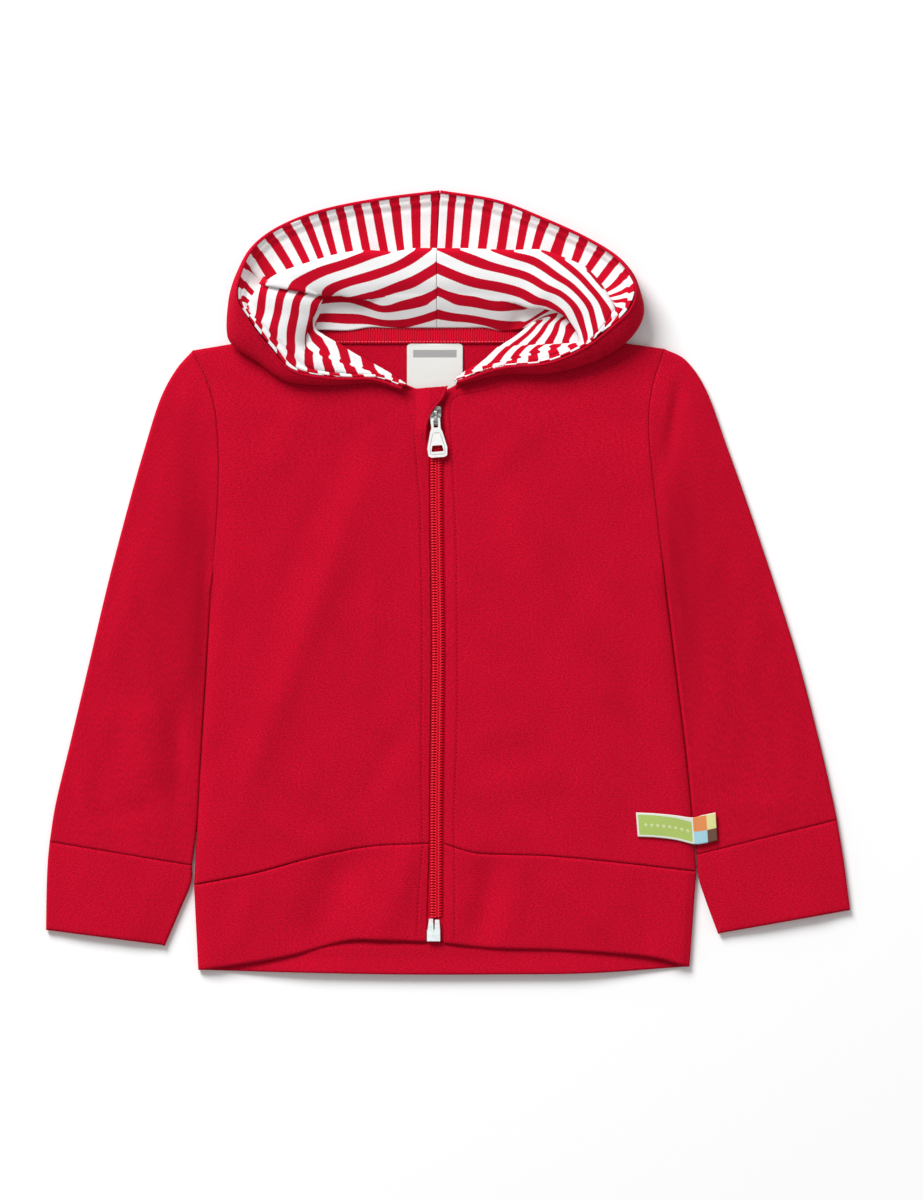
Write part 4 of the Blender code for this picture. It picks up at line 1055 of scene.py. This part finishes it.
# The outer hood's foot, and how far it bulges beyond the rim
OUTER_COLUMNS = "neck_x neck_y rim_x rim_y bulge rim base"
OUTER_LEFT = table(
    OUTER_COLUMNS,
    (-6.72, 168.4, -4.72, 259.6, 1.8, 14, 0.6),
    (-31.5, 168.4, -45.8, 254.4, 1.8, 14.2, 0.6),
    (-51.6, 168.4, -83.2, 246.8, 1.8, 15.2, 0.6),
    (-68.3, 168.6, -111.2, 235.8, 1.8, 17.6, 0.8),
    (-81.7, 169.6, -128.6, 222.2, 2.2, 21.6, 2.6),
    (-90.4, 170.4, -137, 205, 3.4, 25, 5.4),
    (-91.4, 167.6, -139.3, 188.6, 6.4, 26.6, 7.5),
    (-83, 163.8, -130.6, 172.6, 18, 25, 7.5),
    (-72.4, 158.8, -118.6, 157.4, 13, 21.8, 7.5),
    (-60.2, 151.8, -103, 141.9, 8, 18.4, 7.5),
    (-45.6, 142.6, -75, 136.8, 4.6, 14.8, 7.5),
    (-34, 135.2, -50, 136.6, 3, 12.6, 7.5),
    (-24.2, 130.4, -29.4, 130.4, 2, 11.4, 7.5))
OUTER_RIGHT = table(
    OUTER_COLUMNS,
    (-6.68, 168.4, -4.68, 259.6, 1.8, 14, 0.6),
    (15.4, 168.4, 32.6, 253.4, 1.8, 14.2, 0.6),
    (35.5, 168.4, 65.2, 241, 1.8, 15.2, 0.6),
    (46.6, 168.6, 91.2, 229, 1.9, 17.6, 0.8),
    (54, 169.6, 110.8, 217, 2.1, 21.6, 2.6),
    (58.4, 170.4, 121.2, 205, 2.8, 25, 5.4),
    (58.6, 167.6, 125.2, 193.6, 3.6, 26.8, 7.5),
    (54, 163.8, 121.6, 182.2, 10.5, 26.4, 7.5),
    (45.6, 158.8, 110.8, 171.6, 14, 25, 7.5),
    (34.8, 151.6, 92.4, 157.4, 11, 22.4, 7.5),
    (24.6, 144.6, 67.6, 147, 7, 19, 7.5),
    (14.8, 137.4, 36, 143.6, 4.6, 15.6, 7.5),
    (5, 130.4, 7, 134.6, 2.6, 11.6, 7.5))


def hood_outer(name, side, upwards):
    """The outer hood: out over what it lies on, round the bulge, up to the rim and over its edge."""
    t = shares(180)
    at = all_along(side, t)
    at["base"] = np.maximum(at["base"], HOOD_CLOTH / 2)
    neck = np.column_stack((at["neck_x"], at["neck_y"]))
    rim = np.column_stack((at["rim_x"], at["rim_y"]))
    run = unit(np.gradient(rim, axis=0))
    normal = np.column_stack((-run[:, 1], run[:, 0])) * (1 if upwards else -1)
    bulge = at["bulge"][:, None]
    foot = rim + normal * (bulge - 2.6)
    rise = at["rim"] + 0.4 - at["base"]
    knots = [np.column_stack((mix(neck, foot, a), at["base"])) for a in (0.0, 0.25, 0.5, 0.75, 0.9, 1.0)]
    for beyond, up in ((bulge - 0.7, 0.08), (bulge, 0.3), (mix(1.9, bulge, 0.8), 0.6),
                       (mix(1.5, bulge, 0.35), 0.85), (0 * bulge + 1.5, 0.97)):
        knots.append(np.column_stack((rim + normal * beyond, at["base"] + rise * up)))
    for beyond, above in ((1.1, 0.75), (0.2, 0.5)):
        knots.append(np.column_stack((rim + normal * beyond, at["rim"] + above)))
    knots = np.stack(knots, axis=1)
    grid = np.stack([along(line, shares(70)) for line in knots])
    made = cloth(name, grid, SHELL, HOOD_CLOTH, upwards=upwards, centred=True)
    put_on(made, GARMENT, "red_jersey", name)


# Neck tape and labels

TAPE_FROM_Y, TAPE_TO_Y = 159.6, 171.0
TAPE_ROWS = ((160.7, 55.0), (169.4, 50.0))      # the level of each row of stitches, and where it ends


def neck_tape():
    v = shares(14)[:, None]
    u = shares(190)[None, :]
    left = mix(-86.4, -86.0, v)
    right = mix(57.0, 50.0, v)
    x = mix(left, right, u)
    y = mix(TAPE_FROM_Y + 0.3 * u, TAPE_TO_Y + 0 * u, v)
    to_edge = np.minimum(v, 1 - v) * (TAPE_TO_Y - TAPE_FROM_Y) + 0 * u
    high = BODY_CLOTH + LIFT + TAPE_CLOTH
    z = high - dent(to_edge, 1.3, 0.5, 0.3) + 0.12 * np.sin(x / 9.0)
    made = cloth("neck_tape", np.stack((x, y, z), axis=-1), TWILL, TAPE_CLOTH - 0.2)
    put_on(made, GARMENT, "twill_tape", "neck_tape")
    lines = [[(-85.0, level), (-40.0, level + 0.1), (10.0, level + 0.2), (end_x, level + 0.2)]
             for level, end_x in TAPE_ROWS]
    seam = stitches("tape_stitches", lines, lambda px, py: np.full(len(px), high + 0.02), TAPE_THREAD,
                    length=1.3, step=2.3)
    put_on(seam, GARMENT, "twill_tape")


def size_label():
    """A bare satin label with rounded corners, hanging from the tape onto the back."""
    left, right, low, high, corner = -26.8, 10.6, 122.0, 159.5, 2.4
    bar_left, bar_right, bar_low, bar_high = -22.4, 6.2, 150.6, 155.4
    v = shares(60)[:, None]
    u = shares(60)[None, :]
    y = mix(low, high, v) + 0 * u
    to_end = np.minimum(y - low, high - y)
    inset = corner - np.sqrt(np.maximum(corner ** 2 - np.maximum(corner - to_end, 0) ** 2, 0))
    x = mix(left + inset, right - inset, u)
    z = BODY_CLOTH + LIFT + TAPE_CLOTH + 0.25 * np.sin((x + y) / 11.0) * np.sin(math.pi * v) ** 2
    bar = (x > bar_left) & (x < bar_right) & (y > bar_low) & (y < bar_high)
    made = cloth("size_label", np.stack((x, y, z), axis=-1), SATIN, 0.5, values={"bar": bar})
    put_on(made, GARMENT, "size_label", "size_label")


SIDE_LABEL = table(
    "x top_y low_y z",
    (126.4, -154.2, -170.4, 7.9),
    (139, -154.8, -171, 8),
    (152, -156, -172.6, 7.9),
    (163.9, -157.6, -175.4, 7.7),
    (171, -156, -174.9, 7.8),
    (179.6, -154.2, -173, 8.2))

LABEL_GREEN, LABEL_WHITE, LABEL_PALE = (0.46, 0.62, 0.13), (0.86, 0.87, 0.80), (0.72, 0.80, 0.42)
# Plain blocks at the label's end: colour, then from and to along it, and from and to up it
LABEL_BLOCKS = (((0.86, 0.27, 0.07), 38.0, 47.0, 8.5, 18.5), ((0.83, 0.80, 0.33), 47.0, 60.0, 8.5, 18.5),
                ((0.40, 0.70, 0.83), 38.0, 47.0, 0.0, 8.5), ((0.13, 0.04, 0.015), 47.0, 53.5, 0.0, 8.5))


def label_print():
    """Woven label: green with white borders and a row of small diamonds, and four blocks at its end."""
    made = Shader("side_label", (0.5, 0.7, 0.15), 0.6, Specular_IOR_Level=0.3)
    u, v, _ = made.parts(made.attribute("label", "Vector"))

    def inside(low_u, high_u, low_v, high_v):
        across = made.times(made.calc("GREATER_THAN", u, low_u), made.calc("LESS_THAN", u, high_u))
        up = made.times(made.calc("GREATER_THAN", v, low_v), made.calc("LESS_THAN", v, high_v))
        return made.times(across, up)

    colour = made.blend(inside(1.2, 37.0, 1.4, 14.8), LABEL_WHITE, LABEL_GREEN)
    from_middle = made.calc("ABSOLUTE", made.calc("SUBTRACT", v, 8.2))
    along_row = made.calc("FRACT", made.calc("DIVIDE", u, 4.0))
    from_centre = made.times(made.calc("ABSOLUTE", made.calc("SUBTRACT", along_row, 0.5)), 4.0)
    diamond = made.calc("LESS_THAN", made.add(from_centre, from_middle), 1.3)
    colour = made.blend(made.times(diamond, inside(4.0, 36.0, 4.0, 12.0)), colour, LABEL_PALE)
    for block_colour, *limits in LABEL_BLOCKS:
        colour = made.blend(inside(*limits), colour, block_colour)
    fine = made.noise(made.weave(), 1.8)
    made.colour(made.blend(made.times(made.ramp(fine, 0.3, 0.7), 0.25), colour, (0.3, 0.3, 0.25)))
    made.bump(made.add(made.wave(u, TURN / 0.5), fine), 0.08)
    return made.material


def side_label():
    """The label in the side seam: one half lies on the front, the other on the sleeve."""
    u = shares(70)
    at = all_along(SIDE_LABEL, u)
    v = shares(24)[:, None]
    x = at["x"] + 1.2 * v
    y = mix(at["top_y"], at["low_y"], v)
    below = np.maximum(fold_height(x, y), 0) + SLEEVE_HIGH
    z = np.maximum(at["z"], below + 0.9) + 0.25 * np.sin(u * 9.0) * np.sin(math.pi * v)
    made = cloth("side_label", np.stack((x, y, z), axis=-1), label_print(), 0.6, upwards=False)
    place = np.stack((x - x[:, :1], (1 - v) * (at["top_y"] - at["low_y"]), 0 * x), axis=-1)
    attribute = made.data.attributes.new("label", "FLOAT_VECTOR", "POINT")
    attribute.data.foreach_set("vector", place.astype(np.float32).ravel())
    put_on(made, GARMENT, "side_label", "side_label")


# Zip

def zip_tapes():
    for name, near, far in (("zip_tape_left", ZIP_X - 0.25, FRONT_EDGE_LEFT - 8.5),
                            ("zip_tape_right", ZIP_X + 0.25, FRONT_EDGE_RIGHT + 7.0)):
        u = shares(24)[None, :]
        v = shares(200)[:, None]
        y = mix(ZIP_END, ZIP_TOP, v) + 0 * u
        x = bowed(mix(near, far, u) + 0 * v, y)
        z = TAPE_LOW + TAPE_CLOTH + 0.1 + 0.1 * np.sin(y / 7.0) * u
        made = cloth(name, np.stack((x, y, z), axis=-1), TAPE, TAPE_CLOTH - 0.2, upwards=far > near)
        put_on(made, GARMENT, "zip_tape", name)


COIL_PITCH = 1.85
COIL_RADIUS = 0.62
CHAIN_THREAD_RADIUS = 0.22


def zip_coil():
    """The closed coil: turns from both tapes lie beside each other, with a row of bumps down the middle.
    The light thread bars along it are sewing thread, and their light colour is also a painted highlight on
    the coil.
    """
    count = int((SLIDER_BOTTOM - 1.0 - CHAIN_END) / COIL_PITCH)
    y = CHAIN_END + 0.8 + np.arange(count) * COIL_PITCH

    def at(beside, further, height):
        """One point of each turn: this far from the zip's middle, this far up it and this high."""
        across = bowed(np.full(count, ZIP_X + beside), y)
        return np.column_stack((across, y + further, np.full(count, CHAIN_LOW + height)))

    half = COIL_PITCH / 2
    made = bars("zip_chain_coil", np.concatenate((at(-3.6, 0.0, 0.75), at(4.7, half, 0.75))),
                np.concatenate((at(1.1, 0.3, 1.2), at(-0.1, half + 0.3, 1.2))), COIL_RADIUS, COIL, sides=8)
    put_on(made, GARMENT, "zip_coil", "zip_chain")
    # Rows of light thread bars: sewing thread, lighter than the coil so that they also paint in the coil's
    # highlight
    rows = ((-2.9, -1.9, 0.8, 1.35), (-0.2, 0.2, 0.3, 1.8), (1.7, 2.6, 0.8, 1.35))
    starts = [at(beside, 0.0, height) for beside, _, _, height in rows]
    ends = [at(beside, further, height) for _, beside, further, height in rows]
    sewn_and_shine = bars("zip_chain_thread_and_shine", np.concatenate(starts), np.concatenate(ends), CHAIN_THREAD_RADIUS,
                COIL_THREAD_AND_SHINE)
    put_on(sewn_and_shine, GARMENT, "zip_coil")


GUARD = table(
    "left_x left_y right_x right_y rise",
    (-20.4, 88, -13, 88, 0.2),
    (-21, 95, -13.6, 95, 0.6),
    (-21.4, 102, -13.6, 102, 1.2),
    (-21.6, 108.6, -12.1, 108.6, 1.8),
    (-21.8, 114, -9.6, 114, 2.2),
    (-21.8, 118.4, -6.3, 118.4, 2.3),
    (-21.4, 122.6, -2.2, 123.4, 2.4),
    (-21, 129.4, 0.6, 131, 2.4))
GUARD_TALL = 42.0


def chin_guard():
    """The flap over the top of the zip, with a rolled right edge."""
    v = shares(60)
    at = all_along(GUARD, v[:, None])
    u = runs(0, (0.7, 19), (1, 25))[None, :]
    x = mix(at["left_x"], at["right_x"], u)
    y = mix(at["left_y"], at["right_y"], u)
    z = FRONT_TOP + LIFT + HOOD_CLOTH + at["rise"] * soft((x + 19.0) / 8.0)
    to_edge = (1 - u) * (at["right_x"] - at["left_x"])
    z = z - dent(to_edge, 2.4, 0.6, 0.25) - edge_drop(to_edge, 1.2, 0.6)
    from_left = u * (at["right_x"] - at["left_x"])
    z = z - 1.7 * (1 - soft(from_left / 5.0)) - 2.5 * (1 - soft(v[:, None] * GUARD_TALL / 13.0))
    z = np.maximum(z, FRONT_TOP - 0.9)
    made = cloth("chin_guard", np.stack((x, y, z), axis=-1), SHELL, HOOD_CLOTH - 0.2)
    put_on(made, GARMENT, "red_jersey", "chin_guard")


def hard_pieces():
    """The slider, the tab and the zip's lower end keep their solids, with their edges rounded."""
    for name, finish, round_by in (("zip_slider", METAL, 0.25), ("pull_tab", ENAMEL, 0.3),
                                   ("zip_stop", PLASTIC, 0.3)):
        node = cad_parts[name]
        node.data.materials.clear()
        node.data.materials.append(finish)
        edge = node.modifiers.new("edge", "BEVEL")
        edge.width = round_by * MM
        edge.segments = 3
        edge.limit_method = "ANGLE"
        edge.angle_limit = math.radians(35)
        node.data.shade_smooth()


TAB_LINE_RADIUS = 0.22
TAB_LINE_UP = 0.75
TAB_PANEL = np.array(((-2.4, -9.2), (2.4, -9.2), (4.9, -18.6), (4.9, -23.6), (-4.9, -23.6), (-4.9, -18.6)))


def tab_frame():
    """The raised line round the tab's panel, whose corners are given from the hinge. Its grey is painted
    shadow along the panel's raised edge.
    """
    turn = np.array(((math.cos(TAB_TILT), math.sin(TAB_TILT)), (-math.sin(TAB_TILT), math.cos(TAB_TILT))))
    placed = TAB_PANEL @ turn + HINGE[:2]
    level = np.full((len(placed), 1), HINGE[2] + TAB_LINE_UP)
    starts = np.hstack((placed, level))
    ends = np.roll(starts, -1, axis=0)
    made = bars("tab_frame", starts, ends, TAB_LINE_RADIUS, TAB_SHADOW_LINE, sides=10, flat=0.6)
    put_on(made, PULL, "white_enamel")


# The room

LIGHT_FROM = Vector((-0.45, 0.72, 0.64))
LIGHT_FAR = 6.0
LIGHT_WIDE = 3.2
LIGHT_POWER = 456.0
WORLD_LIGHT = 0.48
FLOOR_HALF = 2500.0
FLOOR_LOW = -0.3
FLOOR_SHADE = 0.89


def room():
    """A plain pale floor, one soft light from the upper left and even light all round."""
    corners = [(x * FLOOR_HALF, y * FLOOR_HALF, FLOOR_LOW)
               for x, y in ((-1, -1), (1, -1), (1, 1), (-1, 1))]
    pale = Shader("floor", (FLOOR_SHADE, FLOOR_SHADE, FLOOR_SHADE), 0.9, Specular_IOR_Level=0.0)
    floor = build("floor", corners, [(0, 1, 2, 3)], pale.material)
    light = bpy.data.lights.new("key", "AREA")
    light.shape = "DISK"
    light.size = LIGHT_WIDE
    light.energy = LIGHT_POWER
    key = bpy.data.objects.new("key", light)
    key.location = LIGHT_FROM.normalized() * LIGHT_FAR
    key.rotation_euler = LIGHT_FROM.to_track_quat("Z", "Y").to_euler()
    bpy.context.scene.collection.objects.link(key)
    world = bpy.data.worlds.new("studio")
    world.use_nodes = True
    background = world.node_tree.nodes["Background"].inputs
    background["Color"].default_value = (1.0, 1.0, 1.0, 1.0)
    background["Strength"].default_value = WORLD_LIGHT
    bpy.context.scene.world = world
    bpy.context.scene.view_settings.view_transform = "Standard"


CAMERA_HIGH = 5.0
VIEW_MIDDLE = (9.7, -12.1)
VIEW_TALL = 804.0
SENSOR = 36.0


def camera():
    """Straight down on the garment, from far off."""
    lens = bpy.data.cameras.new("camera")
    lens.sensor_width = SENSOR
    lens.lens = SENSOR * CAMERA_HIGH / (VIEW_TALL * MM)
    lens.clip_end = 50.0
    made = bpy.data.objects.new("camera", lens)
    made.location = (VIEW_MIDDLE[0] * MM, VIEW_MIDDLE[1] * MM, CAMERA_HIGH)
    bpy.context.scene.collection.objects.link(made)
    bpy.context.scene.camera = made


room()
camera()
front_panel("front_left", FRONT_EDGE_LEFT, LEFT_NECK, LEFT_SEAM, LEFT_SIDE, LEFT_ARMHOLE, LEFT_STITCH, -1)
front_panel("front_right", FRONT_EDGE_RIGHT, RIGHT_NECK, RIGHT_SEAM, RIGHT_SIDE, RIGHT_ARMHOLE,
            RIGHT_STITCH, 1)
back_panel()
sleeve("sleeve_left", LEFT_SLEEVE_EDGE, LEFT_SIDE, LEFT_ARMHOLE, LEFT_CUFF, -1)
sleeve("sleeve_right", RIGHT_SLEEVE_EDGE, RIGHT_SIDE, RIGHT_ARMHOLE, RIGHT_CUFF, 1)
cuff("cuff_left", LEFT_CUFF, -1)
cuff("cuff_right", RIGHT_CUFF, 1)
hem_band()
hood_outer("hood_outer_left", OUTER_LEFT, False)
hood_outer("hood_outer_right", OUTER_RIGHT, True)
hood_lining("hood_lining_left", LINING_LEFT, False, "hood_fold")
hood_lining("hood_lining_right", LINING_RIGHT, True)
neck_tape()
size_label()
side_label()
zip_tapes()
zip_coil()
chin_guard()
hard_pieces()
tab_frame()

for line_name, stitch_line in (("left", LEFT_STITCH), ("right", RIGHT_STITCH)):
    rows = stitches("stitches_" + line_name, [stitch_line[::-1]],
                    lambda px, py: FRONT_TOP + fold_height(px, py) - GROOVE_DEEP + 0.2, RED_THREAD)
    put_on(rows, GARMENT, "red_jersey")
